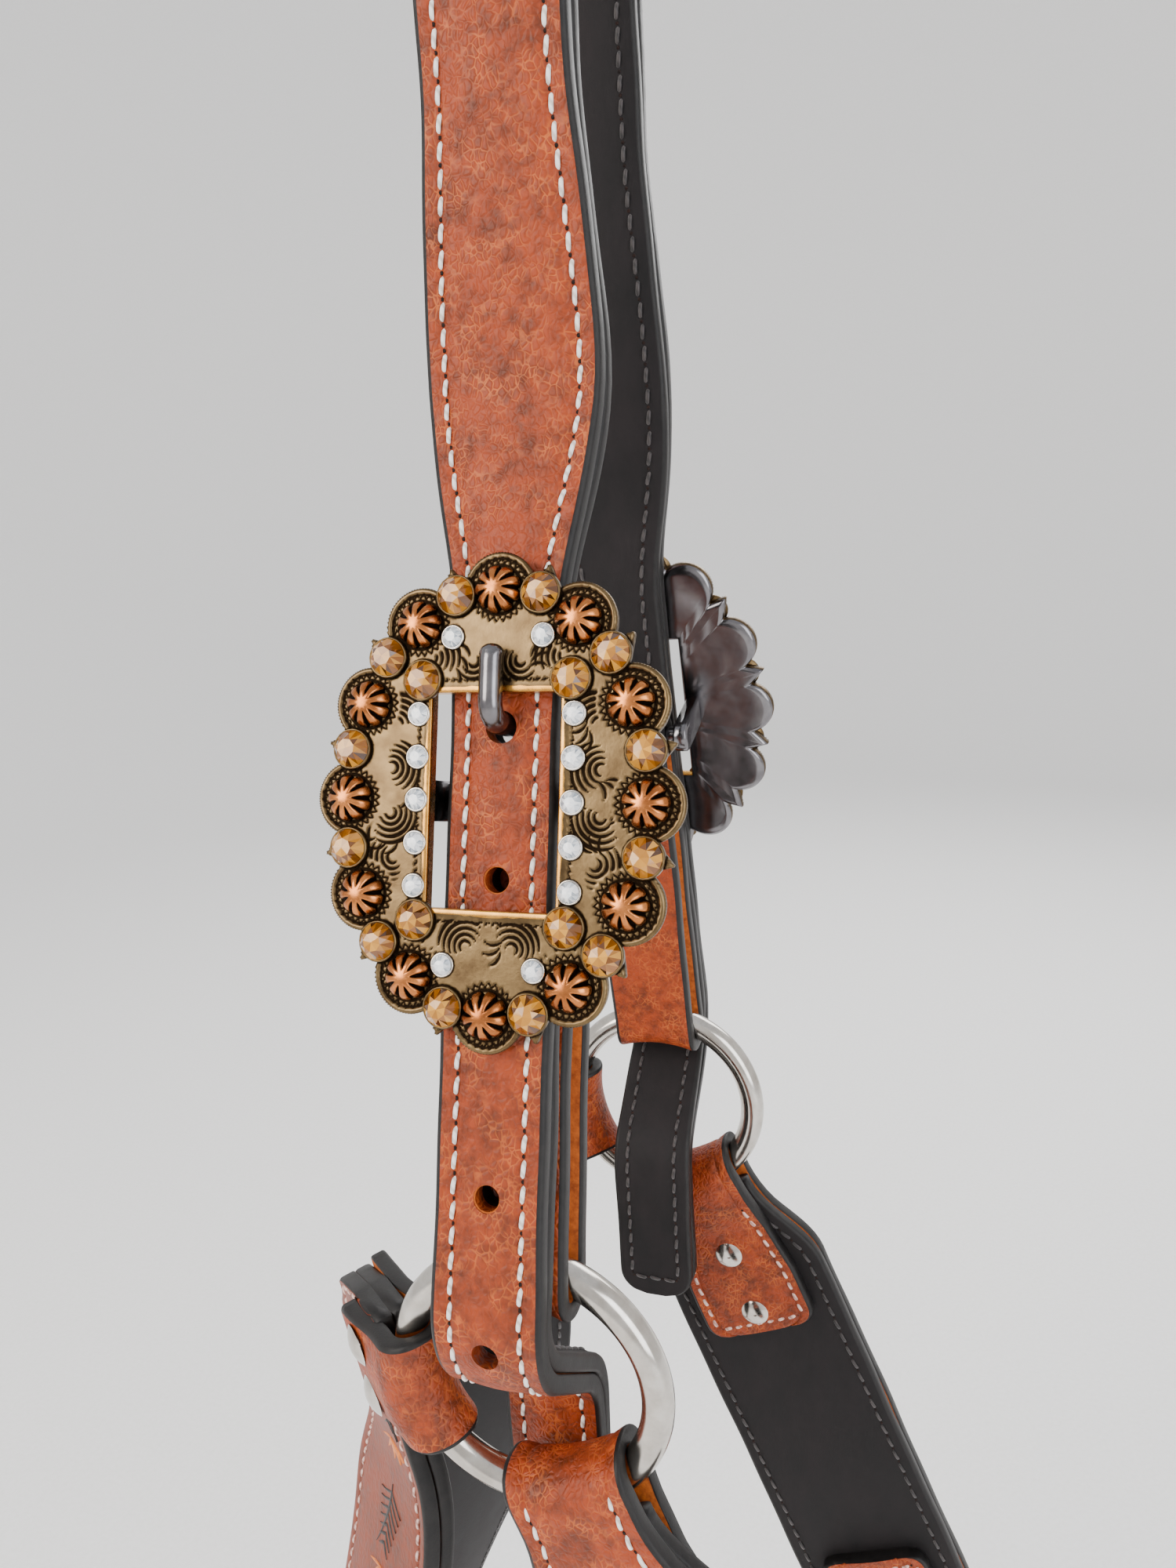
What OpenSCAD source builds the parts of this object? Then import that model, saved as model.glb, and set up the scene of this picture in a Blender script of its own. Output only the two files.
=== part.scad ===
// Western breast collar, hanging by the middle of its wither strap.
// +X points to the horse's tail, -Y to its left side, +Z up.
// The origin is on the underside of the wither strap, where it rests on its hook.

/* [Leather] */
// Thickness of the brown outer leather
face_t = 3.4; // [2.8:0.1:4]
// Thickness of the black lining leather
lining_t = 3.4; // [2.8:0.1:4]

/* [Wither strap] */
// Width over the withers
strap_w = 25.4; // [22:0.2:29]
// Width of the swell above each buckle
swell_w = 30.8; // [28:0.2:36]
// Width of the billet that the buckle holds
billet_w = 19; // [16:0.5:20.5]
// Inside radius of the bend over the hook
rest_r = 18; // [14:1:24]
// Height from the buckle's centre to the strap's resting place
buckle_drop = 225; // [200:5:270]
// Outward lean of the strap at the buckle, degrees
leg_lean = 16; // [12:1:19]
// Spacing of the billet's holes
hole_pitch = 25.4; // [25:0.1:26]
// Diameter of a billet hole
hole_d = 4.8; // [4:0.2:5.4]
// Length of the billet's tail that hangs inside the ring
tail_len = 34; // [20:1:44]

/* [Cart buckle] */
// Half width of the ring of berries
berry_ring_a = 25.4; // [24:0.2:28]
// Half height of the ring of berries
berry_ring_b = 34; // [32:0.2:38]
// Diameter of a scallop under a berry
lobe_d = 12.4; // [11:0.2:13]
// Diameter of a berry
berry_d = 7.8; // [6.4:0.2:9]
// Diameter of an amber crystal
amber_d = 6.2; // [5:0.2:7]
// Diameter of a clear rhinestone
clear_d = 3.4; // [2.6:0.2:4]
// Thickness of the buckle plate
plate_t = 2.6; // [2:0.1:3.2]
// Width of the buckle window
window_w = 22.4; // [21.6:0.2:24]
// Height of the buckle window
window_h = 35; // [33:0.5:38]
// Diameter of the heel bar
heel_d = 4; // [3.4:0.1:4.6]
// Diameter of the tongue's rod
tongue_d = 3.6; // [3:0.1:3.8]

/* [Rings] */
// Outside diameter of a ring
ring_od = 52.8; // [50:0.4:58]
// Diameter of the ring's wire
wire_d = 5.8; // [5:0.1:6.4]
// Drop from the buckle's centre to the shoulder ring's centre
ring_drop = 103; // [100:1:112]
// Distance from the middle plane to a shoulder ring
ring_side = 50; // [48:0.5:52]

/* [Chest pieces] */
// Width of the chest piece
chest_w = 44; // [38:1:50]
// Width of its loops
chest_loop_w = 22; // [18:0.5:23]
// Drop from the shoulder rings to the centre ring
chest_drop = 272; // [250:2:320]
// Distance that the centre ring stands ahead of the shoulder rings
chest_ahead = 90; // [80:1:100]

/* [Tugs] */
// Width of a tug
tug_w = 44; // [38:1:50]
// Width of a tug's ends
tug_neck_w = 24; // [20:0.5:25]
// Distance from the shoulder ring's centre to the tug buckle's heel bar
tug_len = 186; // [180:2:260]
// Backward lean of a tug, degrees
tug_lean = 22; // [18:1:28]

/* [Girth strap and snap] */
// Width of the girth strap
girth_w = 20; // [17:0.5:21]
// Length of the girth strap from ring wire to snap eye
girth_len = 96; // [80:1:140]
// Travel of the snap's bolt
bolt_travel = 9; // [7:0.5:9]

/* [Hidden] */
$fn = 48;

// Clearances
fit_gap = 0.06;
part_gap = 0.4;
loop_slack = 0.6;
far = 400;

// Leather stack
strap_t = face_t + lining_t;
arc_step = 6;

// Rings
wire_r = wire_d / 2;
ring_r = ring_od / 2 - wire_r;
touch_gap = 0.1;
loop_in = max(wire_r + loop_slack, face_t + touch_gap, lining_t + touch_gap);
loop_mid = loop_in + face_t / 2;
loop_out = loop_in + face_t;

// Straight down and round an arc, as [y, z] with a heading from straight down
function heading(a) = [sin(a), -cos(a)];
function leftward(a) = [-cos(a), -sin(a)];
function after_arc(p, a, r, turn) =
    p + r * sign(turn) * [cos(a) - cos(a + turn), sin(a) - sin(a + turn)];

// Points along a list of moves. A move is [length, 0] or [radius, turn].
function walk(p, a, moves, i = 0) =
    i == len(moves) ? [[p, a]] :
    moves[i][1] == 0 ?
        concat([[p, a]], walk(p + moves[i][0] * heading(a), a, moves, i + 1)) :
        let (r = moves[i][0], turn = moves[i][1], n = ceil(abs(turn) / arc_step))
        concat(
            [for (k = [0:n - 1]) [after_arc(p, a, r, turn * k / n), a + turn * k / n]],
            walk(after_arc(p, a, r, turn), a + turn, moves, i + 1)
        );

// A ribbon between two offsets from a path, outward positive
module ribbon(path, inner, outer) {
    last = len(path) - 1;
    polygon(concat(
        [for (q = path) q[0] + outer * leftward(q[1])],
        [for (i = [last:-1:0]) path[i][0] + inner * leftward(path[i][1])]
    ));
}

function ease(t) = (1 - cos(180 * min(1, max(0, t)))) / 2;

// Draws children for the horse's left side or, mirrored, for its right
module on_side(right) {
    if (right) mirror([0, 1, 0]) children();
    else children();
}

// ---- wither strap ----------------------------------------------------------
bend_r = 60;
swell_up = 68;
rest_mid_r = rest_r + lining_t;
lean_out = bend_r * (1 - cos(leg_lean));
lean_down = bend_r * sin(leg_lean);
bend_start = buckle_drop - 75;
buckle_side = rest_mid_r + lean_out + (buckle_drop - bend_start - lean_down) * tan(leg_lean);
to_buckle = (buckle_drop - bend_start - lean_down) / cos(leg_lean);

// The tail turns in through the ring at tail_turn from straight down
tail_turn = 50;
tail_in_r = 14;
tail_back_r = 12;
tail_cross_z = 2.4;
tail_inside = 8;
tail_arc_y = tail_in_r * (cos(leg_lean) - cos(tail_turn));
tail_arc_z = tail_in_r * (sin(leg_lean) + sin(tail_turn));
// Straight billet below the buckle's centre, so that the tail crosses the ring at tail_cross_z
tail_target = ring_drop - tail_cross_z - tail_arc_z
    - (buckle_side - ring_side - tail_arc_y) / tan(tail_turn);
billet_len = tail_target / (cos(leg_lean) + sin(leg_lean) / tan(tail_turn));
tail_start_y = buckle_side + billet_len * sin(leg_lean) - tail_arc_y;
tail_cross_len = (tail_start_y - ring_side + tail_inside) / sin(tail_turn);
strap_end_z = -buckle_drop - ring_drop + tail_cross_z - tail_inside / tan(tail_turn)
    - tail_back_r * sin(tail_turn) - tail_len;

left_path = walk([0, lining_t], -90, [
    [rest_mid_r, 90],
    [bend_start - rest_r, 0],
    [bend_r, -leg_lean],
    [to_buckle + billet_len, 0],
    [tail_in_r, leg_lean + tail_turn],
    [tail_cross_len, 0],
    [tail_back_r, -tail_turn],
    [tail_len, 0]
]);

function strap_half(z) =
    let (up = z + buckle_drop)
    up >= swell_up ? (swell_w + (strap_w - swell_w) * ease((up - swell_up) / 50)) / 2 :
    (swell_w + (billet_w - swell_w) * ease((swell_up - up) / 43)) / 2;

tip_r = 6;
module strap_outline() {
    top = strap_t + 5;
    zs = concat([top], [for (up = [swell_up + 52:-4:swell_up - 44]) up - buckle_drop]);
    polygon(concat(
        [for (z = zs) [strap_half(z), z]],
        [[billet_w / 2, strap_end_z + tip_r]],
        [for (a = [0:15:90]) [billet_w / 2 - tip_r + tip_r * cos(a), strap_end_z + tip_r - tip_r * sin(a)]],
        [for (a = [90:-15:0]) [-billet_w / 2 + tip_r - tip_r * cos(a), strap_end_z + tip_r - tip_r * sin(a)]],
        [for (i = [len(zs) - 1:-1:0]) [-strap_half(zs[i]), zs[i]]]
    ));
}

// Frame of the left buckle: +Z up the strap, -Y out of the buckle's face
module at_buckle() {
    translate([0, -buckle_side, -buckle_drop]) rotate([-leg_lean, 0, 0]) children();
}

tongue_up = hole_pitch / 2;
spare_holes = [1, 2, 3, 4];
slot_low = tongue_up - 2.2;
slot_high = tongue_up + 0.2;
module billet_holes() {
    at_buckle() {
        for (i = spare_holes)
            translate([0, 0, tongue_up - i * hole_pitch])
                rotate([90, 0, 0]) cylinder(h = 3 * strap_t, d = hole_d, center = true);
        // The hole in use is stretched into a slot by the tongue
        for (up = [slot_low, slot_high])
            translate([0, 0, up])
                rotate([90, 0, 0]) cylinder(h = 3 * strap_t, d = tongue_d + 1, center = true);
        translate([-tongue_d / 2 - 0.5, -1.5 * strap_t, slot_low])
            cube([tongue_d + 1, 3 * strap_t, slot_high - slot_low]);
    }
}

module strap_ply(inner, outer) {
    difference() {
        intersection() {
            rotate([90, 0, 90]) linear_extrude(2 * swell_w, center = true)
                for (s = [0, 1]) mirror([s, 0]) ribbon(left_path, inner, outer);
            rotate([90, 0, 0]) linear_extrude(far, center = true) strap_outline();
        }
        billet_holes();
        mirror([0, 1, 0]) billet_holes();
    }
}
module wither_face() { color("sienna") strap_ply(0, face_t); }
module wither_lining() { color("#2b2629") strap_ply(-lining_t, 0); }

// ---- cart buckle -----------------------------------------------------------
plate_back = face_t + part_gap;
plate_front = plate_back + plate_t;
lug_t = 3;
lug_w = 7;
lug_sunk = 1;
heel_gap = 0.25;
lug_x = window_w / 2 + 0.6;
heel_in = lining_t + part_gap + heel_d / 2 + heel_gap + face_t;
berry_count = 12;
berry_h = 3;
amber_h = 3.4;
corner_amber_h = 2.6;
clear_h = 1.1;
nub_half = 2.6;
nub_root = 4;
nub_tip = 2.6;
function berry_angle(i) = 30 * i + 3 * sin(60 * i);
function on_ring(a, grow = 0) = [(berry_ring_a + grow) * sin(a), (berry_ring_b + grow) * cos(a)];
function berry_at(i) = on_ring(berry_angle(i));
function amber_at(i) = on_ring((berry_angle(i) + berry_angle(i + 1)) / 2, 0.6);
function nub_at(i) = on_ring((berry_angle(i) + berry_angle(i + 1)) / 2, 4.6);

module plate_outline() {
    difference() {
        union() {
            polygon([for (a = [0:5:355]) on_ring(a)]);
            for (i = [0:berry_count - 1]) {
                translate(berry_at(i)) circle(d = lobe_d);
                // Small pointed nub between two scallops
                translate(nub_at(i))
                    rotate(-atan2(nub_at(i)[0], nub_at(i)[1]))
                    polygon([[-nub_half, -nub_root], [nub_half, -nub_root], [0, nub_tip]]);
            }
        }
        square([window_w, window_h], center = true);
        // Seat for the tongue above the window
        translate([0, window_h / 2]) square([tongue_d + 1.4, 3], center = true);
    }
}

// Stands children on the plate's face, drawn in X and Z with their height out of the face
module on_plate(height) {
    at_buckle() translate([0, -height, 0]) rotate([90, 0, 0]) children();
}

module buckle_plate(right) {
    color("#8c7458") on_side(right) {
        on_plate(plate_back) linear_extrude(plate_t) plate_outline();
        at_buckle() for (s = [-1, 1]) difference() {
            union() {
                translate([s * (lug_x + lug_t / 2), (heel_in - plate_back - lug_sunk) / 2, 0])
                    cube([lug_t, heel_in + plate_back + lug_sunk, lug_w], center = true);
                translate([s * (lug_x + lug_t / 2), heel_in, 0])
                    rotate([0, 90, 0]) cylinder(h = lug_t, d = lug_w, center = true);
            }
            translate([0, heel_in, 0]) rotate([0, 90, 0]) cylinder(h = far / 4, d = heel_d, center = true);
            // Nothing of a lug stands past the middle of the plate
            translate([0, -plate_back - plate_t / 2 - lug_w, 0])
                cube([far / 4, 2 * lug_w, 2 * lug_w], center = true);
        }
    }
}
module heel_bar(right) {
    color("#55504d") on_side(right) at_buckle() translate([0, heel_in, 0])
        rotate([0, 90, 0]) cylinder(h = 2 * (lug_x + lug_t), d = heel_d, center = true);
}

// A dome: a slice of a ball that stands on the plate
module dome(d, h) {
    r = (d * d / 4 + h * h) / (2 * h);
    intersection() {
        translate([0, 0, h - r]) sphere(r);
        cylinder(h = h, d = d);
    }
}
module berries(right) {
    color("#c98555") on_side(right) on_plate(plate_front)
        for (i = [0:berry_count - 1]) translate(berry_at(i)) dome(berry_d, berry_h);
}
amber_corner_x = window_w / 2 + 1.6;
amber_corner_y = window_h / 2 + 2;
module amber_crystals(right) {
    color("#c98a2e") on_side(right) on_plate(plate_front) {
        for (i = [0:berry_count - 1]) translate(amber_at(i)) dome(amber_d, amber_h);
        for (x = [-1, 1], y = [-1, 1]) translate([x * amber_corner_x, y * amber_corner_y])
            dome(amber_d, corner_amber_h);
    }
}
// Clear stones: five down each side of the window, two above it and two below
stone_x = window_w / 2 + clear_d / 2 + 0.5;
stone_gap = 7;
end_stone_x = 7.8;
end_stone_y = window_h / 2 + 9;
module rhinestones(right) {
    color("#eef2f4") on_side(right) on_plate(plate_front) {
        for (x = [-1, 1], k = [-2:2]) translate([x * stone_x, k * stone_gap]) dome(clear_d, clear_h);
        for (x = [-1, 1], y = [-1, 1]) translate([x * end_stone_x, y * end_stone_y]) dome(clear_d, clear_h);
    }
}

// The tongue turns on the heel bar, passes the billet and rests on the plate
tongue_ring_d = heel_d + 2 * fit_gap + 3.2;
tongue_bend = 3.4;
tongue_tip = 23.5;
tongue_front = plate_front + tongue_d / 2 + 0.2;
module tongue(right) {
    color("#6a5f58") on_side(right) at_buckle() difference() {
        union() {
            translate([0, heel_in, 0]) rotate([0, 90, 0]) cylinder(h = tongue_d + 0.6, d = tongue_ring_d, center = true);
            translate([0, heel_in, tongue_ring_d / 2 - 1])
                cylinder(h = tongue_up - tongue_bend - tongue_ring_d / 2 + 1, d = tongue_d);
            translate([0, heel_in - tongue_bend, tongue_up - tongue_bend]) rotate([0, -90, 0])
                rotate_extrude(angle = 90) translate([tongue_bend, 0]) circle(d = tongue_d);
            translate([0, heel_in - tongue_bend, tongue_up]) rotate([90, 0, 0])
                cylinder(h = heel_in + tongue_front - 2 * tongue_bend, d = tongue_d);
            translate([0, -tongue_front + tongue_bend, tongue_up + tongue_bend]) rotate([0, -90, 0]) rotate([0, 0, 180])
                rotate_extrude(angle = 90) translate([tongue_bend, 0]) circle(d = tongue_d);
            translate([0, -tongue_front, tongue_up + tongue_bend])
                cylinder(h = tongue_tip - tongue_up - tongue_bend, d = tongue_d);
            translate([0, -tongue_front, tongue_tip]) sphere(d = tongue_d);
        }
        translate([0, heel_in, 0]) rotate([0, 90, 0]) cylinder(h = 20, d = heel_d + 2 * fit_gap, center = true);
    }
}

// ---- ring tab --------------------------------------------------------------
heel_y = buckle_side - heel_in * cos(leg_lean);
heel_z = -buckle_drop - heel_in * sin(leg_lean);
ring_z = -buckle_drop - ring_drop;
ring_top_z = ring_z + ring_r;
tab_rise = heel_z - ring_top_z;
tab_reach = ring_side - heel_y;
tab_len = norm([tab_rise, tab_reach]);
tab_lean = atan2(tab_reach, tab_rise);
tab_top_in = heel_d / 2 + heel_gap;
// Outline of a belt round two rollers, the lower of radius r1 at the origin
function belt(r0, r1, length) =
    let (open = asin((r1 - r0) / length))
    concat(
        [for (a = [-open:(180 + 2 * open) / 24:180.01 + open]) [r0 * cos(a), length + r0 * sin(a)]],
        [for (a = [180 + open:(180 - 2 * open) / 24:360.01 - open]) [r1 * cos(a), r1 * sin(a)]]
    );
tab_w = 20;
tab_slot_w = tongue_d + 2.4;
tab_slot_h = 20;
tab_screw_up = 34;
module at_tab() {
    translate([0, -ring_side, ring_top_z]) rotate([-tab_lean, 0, 0]) children();
}
module ring_tab(right) {
    color("sienna") on_side(right) difference() {
        at_tab() difference() {
            rotate([90, 0, 90]) linear_extrude(tab_w, center = true) difference() {
                polygon(belt(tab_top_in + face_t, loop_in + face_t, tab_len));
                polygon(belt(tab_top_in, loop_in, tab_len));
            }
            translate([0, 0, tab_len + 2]) cube([tab_slot_w, 30, tab_slot_h], center = true);
            translate([0, 0, tab_screw_up]) rotate([90, 0, 0]) screw_holes();
        }
        at_shoulder_ring() ring_wire(part_gap);
    }
}

// ---- screws ----------------------------------------------------------------
screw_post_d = 4;
screw_head_d = 8;
screw_head_t = 1.3;
// Gap under a screw's head on a tapering strap
head_gap = 0.1;
// Half the thickness of a belt at a share of its length above its lower roller
function belt_half(r0, r1, share) = r1 + (r0 - r1) * share;
module screw_holes() { cylinder(h = 40, d = screw_post_d, center = true); }
// A two-part post screw along Z, from lo to hi
module post_screw(lo, hi) {
    translate([0, 0, lo - 0.1]) cylinder(h = hi - lo + 0.2, d = screw_post_d);
    translate([0, 0, hi]) dome(screw_head_d, screw_head_t);
    translate([0, 0, lo]) rotate([180, 0, 0]) dome(screw_head_d, screw_head_t);
}
module tab_screws(right) {
    half = belt_half(tab_top_in + face_t, loop_out, tab_screw_up / tab_len) + head_gap;
    color("silver") on_side(right) at_tab() translate([0, 0, tab_screw_up]) rotate([90, 0, 0])
        post_screw(-half, half);
}

// ---- rings -----------------------------------------------------------------
// A ring's wire. Grown by a gap, it is the groove that the wire presses into leather.
module ring_wire(gap = 0) {
    rotate_extrude() translate([ring_r, 0]) circle(d = wire_d + 2 * gap);
}
module at_shoulder_ring() { translate([0, -ring_side, ring_z]) rotate([90, 0, 0]) children(); }
module shoulder_ring(right) { color("silver") on_side(right) at_shoulder_ring() ring_wire(); }
centre_z = ring_z - chest_drop;
module at_centre_ring() { translate([-chest_ahead, 0, centre_z]) rotate([0, 90, 0]) children(); }
module centre_ring() { color("silver") at_centre_ring() ring_wire(); }

// ---- leather folds round a wire --------------------------------------------
// Drawn as [in, up] about the wire's centre: the outer ply hangs at -in, the fold is on top,
// and the inner ply hangs behind it.
// Inner ply that stays clear of the outer one
function open_fold(outer_len, inner_len) = walk([-loop_mid, -outer_len], 180, [
    [outer_len, 0], [loop_mid, -180], [inner_len, 0]
]);
// Inner ply that leans in until it lies on the lining
lean_in_r = 10;
lean_in = 14;
lean_shift = loop_mid + loop_in - lining_t - face_t / 2;
lean_len = (lean_shift - 2 * lean_in_r * (1 - cos(lean_in))) / sin(lean_in);
function closed_fold(patch) = walk([-loop_mid, 0], 180, [
    [loop_mid, -180], [lean_in_r, -lean_in], [lean_len, 0], [lean_in_r, lean_in], [patch, 0]
]);
module ply(path, width) {
    rotate([90, 0, 90]) linear_extrude(width, center = true)
        ribbon(path, -face_t / 2, face_t / 2);
}

// ---- chest pieces ----------------------------------------------------------
chest_turn = 78;
chest_yaw = 42;
foot_turn = 40;
root_out = 16;
core_start = wire_r + 1.2;
patch_more = 12;
foot_out = 24;
chest_top = -12;
chest_straight = 30;
chest_screw_out = 10;
chest_screw_gap = 5.5;

// Directions at the top of the left chest piece: across, down, and out of its face
down_dir = [cos(chest_turn), 0, -sin(chest_turn)];
neck_dir = [-sin(chest_turn), 0, -cos(chest_turn)];
across_dir = cos(chest_yaw) * neck_dir + [0, sin(chest_yaw), 0];
wire_point = [0, -ring_side, ring_z] + ring_r * neck_dir;
root_point = wire_point + root_out * across_dir;
// Directions at its foot on the centre ring
foot_dir = [0, sin(foot_turn), -cos(foot_turn)];
foot_across = [0, cos(foot_turn), sin(foot_turn)];
foot_centre = [-chest_ahead, 0, centre_z];
foot_edge = foot_centre - (ring_r + foot_out) * foot_dir - chest_loop_w / 2 * foot_across;

curve_a = root_point + chest_straight * down_dir;
curve_b = curve_a + 60 * down_dir;
curve_c = foot_edge - 80 * foot_dir;
curve_len = norm(foot_edge - curve_a);
function bezier(t) = pow(1 - t, 3) * curve_a + 3 * t * pow(1 - t, 2) * curve_b
    + 3 * t * t * (1 - t) * curve_c + pow(t, 3) * foot_edge;
function bezier_way(t) = pow(1 - t, 2) * (curve_b - curve_a) + 2 * t * (1 - t) * (curve_c - curve_b)
    + t * t * (foot_edge - curve_c);
function unit(v) = v / norm(v);

// Width of the chest piece at a distance v below its neck
function chest_width(v) = 0.6 + 16 * ease((v - chest_top) / 5) + 6 * ease((v + 6) / 8)
    + (chest_w - 22.6) * ease((v - 2) / 66) - (chest_w - chest_loop_w) * ease((v - curve_len * 0.55) / (curve_len * 0.5));

// A station is [edge point, across, out, width]
function station(p, way, yaw, width) =
    let (e = unit(cross([0, 1, 0], way)), out = sin(yaw) * e + cos(yaw) * cross(e, way))
    [p, cross(way, out), out, width];
half_loop = chest_loop_w / 2;
// Between the plies of the upper loop the chest piece reaches out to the ring's wire
function reach(v) = abs(v) > half_loop + 0.01 ? 0 : root_out - core_start;
chest_stations = concat(
    [for (v = [-half_loop - 1, -half_loop, -10, -9, -8, -7, -5, -3, 0, 5, half_loop, half_loop + 1.5, 18, 24])
        station(root_point + v * down_dir - reach(v) * across_dir, down_dir, chest_yaw,
            chest_width(v) + reach(v))],
    [for (k = [0:20]) let (t = k / 20)
        station(bezier(t), unit(bezier_way(t)), chest_yaw + (90 - chest_yaw) * ease(t),
            k == 20 ? chest_loop_w : chest_width(chest_straight + t * curve_len))],
    [station(foot_edge + (foot_out - core_start) * foot_dir, foot_dir, 90, chest_loop_w)]
);

// A flat bar that follows stations, from inner to outer along their out direction
module swept_ply(stations, inner, outer) {
    n = len(stations);
    pts = [for (s = stations) for (c = [[0, inner], [1, inner], [1, outer], [0, outer]])
        s[0] + c[0] * s[3] * s[1] + c[1] * s[2]];
    polyhedron(pts, concat(
        [[0, 1, 2, 3]],
        [for (i = [0:n - 2]) for (k = [0:3])
            let (a = 4 * i + k, b = 4 * i + (k + 1) % 4)
            // The two broad faces share their diagonals, so that two plies meet without a gap
            each k == 2 ? [[a, a + 4, b], [b, a + 4, b + 4]] : [[a, a + 4, b + 4], [a, b + 4, b]]],
        [[4 * n - 1, 4 * n - 2, 4 * n - 3, 4 * n - 4]]
    ), convexity = 6);
}

module at_neck() {
    translate(wire_point) rotate([0, chest_turn, 0]) rotate([chest_yaw, 0, 0]) children();
}
module at_foot() {
    translate(foot_centre) rotate([180 + foot_turn, 0, 0]) rotate([0, 0, -90])
        translate([0, 0, -ring_r]) children();
}
// Screws stand through the plies at a loop, [along the width, down from the wire]
module chest_screw_places() {
    at_neck() for (s = [-1, 1]) translate([s * chest_screw_gap, 0, -chest_screw_out])
        rotate([90, 0, 0]) children();
    at_foot() for (s = [-1, 1]) translate([s * chest_screw_gap, 0, -chest_screw_out])
        rotate([90, 0, 0]) children();
}
module chest_ply(inner, outer) {
    difference() {
        swept_ply(chest_stations, inner, outer);
        chest_screw_places() screw_holes();
    }
}
module chest_face(right) { color("sienna") on_side(right) chest_ply(0, face_t); }
module chest_lining(right) { color("#2b2629") on_side(right) chest_ply(-lining_t, 0); }
module chest_upper_loop(right) {
    color("peru") on_side(right) difference() {
        at_neck() ply(open_fold(root_out, root_out + patch_more), chest_loop_w);
        chest_screw_places() screw_holes();
        at_shoulder_ring() ring_wire(part_gap);
    }
}
module chest_lower_loop(right) {
    color("peru") on_side(right) difference() {
        at_foot() ply(open_fold(foot_out - 2, foot_out - 2), chest_loop_w);
        chest_screw_places() screw_holes();
        at_centre_ring() ring_wire(part_gap);
    }
}
module chest_screws(right) {
    color("silver") on_side(right) chest_screw_places() post_screw(-loop_out, loop_out);
}

// ---- tugs ------------------------------------------------------------------
patch_len = 28;
patch_w = 30;
flare_up = 16;
flare_down = 8;
lean_end = lean_in_r * 2 * sin(lean_in) + lean_len * cos(lean_in);
patch_end = lean_end + patch_len;
// Both screws stand where the fold lies flat on the lining
tug_screw_ups = [lean_end + 4.6, lean_end + 22.1];
module at_tug() {
    translate([0, -ring_side, ring_z]) rotate([0, -tug_lean, 0]) children();
}
function tug_half(d) =
    let (room = min(d - ring_r, tug_len - d))
    (tug_neck_w + (tug_w - tug_neck_w) * ease((room - 5) / 26)) / 2;
module tug_outline() {
    ds = [for (k = [0:60]) ring_r + (tug_len - ring_r) * k / 60];
    polygon(concat([for (d = ds) [tug_half(d), -d]], [for (k = [60:-1:0]) [-tug_half(ds[k]), -ds[k]]]));
}
module patch_outline() {
    right_edge = [[patch_w / 2, -patch_end - 2], [patch_w / 2, -patch_end + flare_up],
        [tug_neck_w / 2, -flare_down], [tug_neck_w / 2, 20]];
    left_edge = [for (k = [3:-1:0]) [-right_edge[k][0], right_edge[k][1]]];
    polygon(concat(right_edge, left_edge));
}
module tug_fold() {
    intersection() {
        ply(closed_fold(patch_len), tug_w);
        rotate([90, 0, 0]) linear_extrude(40, center = true) patch_outline();
    }
}
// The two ends of a tug: at the ring, and upside down at the buckle's heel bar
module tug_ends() {
    translate([0, 0, -ring_r]) children();
    translate([0, 0, -tug_len]) mirror([0, 0, 1]) children();
}
module tug_screw_places() {
    tug_ends() for (up = tug_screw_ups) translate([0, 0, -up]) rotate([90, 0, 0]) children();
}
tug_tongue_d = 4;
tug_slot_w = tug_tongue_d + 3;
tug_slot_h = 24;
module tug_slot() {
    translate([0, 0, -tug_len - 2]) cube([tug_slot_w, 30, tug_slot_h], center = true);
}
module tug_face(right) {
    color("sienna") on_side(right) difference() {
        at_tug() difference() {
            union() {
                translate([0, -loop_in, 0]) rotate([90, 0, 0]) linear_extrude(face_t) tug_outline();
                tug_ends() tug_fold();
            }
            tug_screw_places() screw_holes();
            tug_slot();
        }
        at_shoulder_ring() ring_wire(part_gap);
    }
}
module tug_lining(right) {
    color("#2b2629") on_side(right) at_tug() difference() {
        intersection() {
            translate([0, -loop_in + lining_t, 0]) rotate([90, 0, 0]) linear_extrude(lining_t) tug_outline();
            translate([-tug_w, -20, -tug_len + core_start]) cube([2 * tug_w, 40, tug_len - ring_r - 2 * core_start]);
        }
        tug_screw_places() screw_holes();
        tug_slot();
    }
}
module tug_screws(right) {
    color("silver") on_side(right) at_tug() tug_screw_places()
        post_screw(loop_in - strap_t, loop_out);
}

// End buckle: a rectangular wire frame with a roller and a tongue
bar_d = 5;
tongue_over = 4;
frame_half = tug_neck_w / 2 + 5;
frame_len = 30;
roller_d = 8.4;
module at_tug_buckle() { at_tug() translate([0, 0, -tug_len]) children(); }
module tug_buckle(right) {
    color("silver") on_side(right) at_tug_buckle() {
        for (d = [0, frame_len]) translate([0, 0, -d]) rotate([0, 90, 0])
            cylinder(h = 2 * frame_half, d = bar_d, center = true);
        for (s = [-1, 1]) translate([s * frame_half, 0, -frame_len]) {
            cylinder(h = frame_len, d = bar_d);
            for (up = [0, frame_len]) translate([0, 0, up]) sphere(d = bar_d);
        }
    }
}
module tug_roller(right) {
    color("gainsboro") on_side(right) at_tug_buckle() translate([0, 0, -frame_len]) rotate([0, 90, 0])
        difference() {
            cylinder(h = 2 * frame_half - bar_d - 2, d = roller_d, center = true);
            cylinder(h = 2 * frame_half, d = bar_d + 2 * fit_gap, center = true);
        }
}
tug_tongue_tilt = asin((roller_d / 2 + tug_tongue_d / 2 + 0.3) / frame_len);
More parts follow.
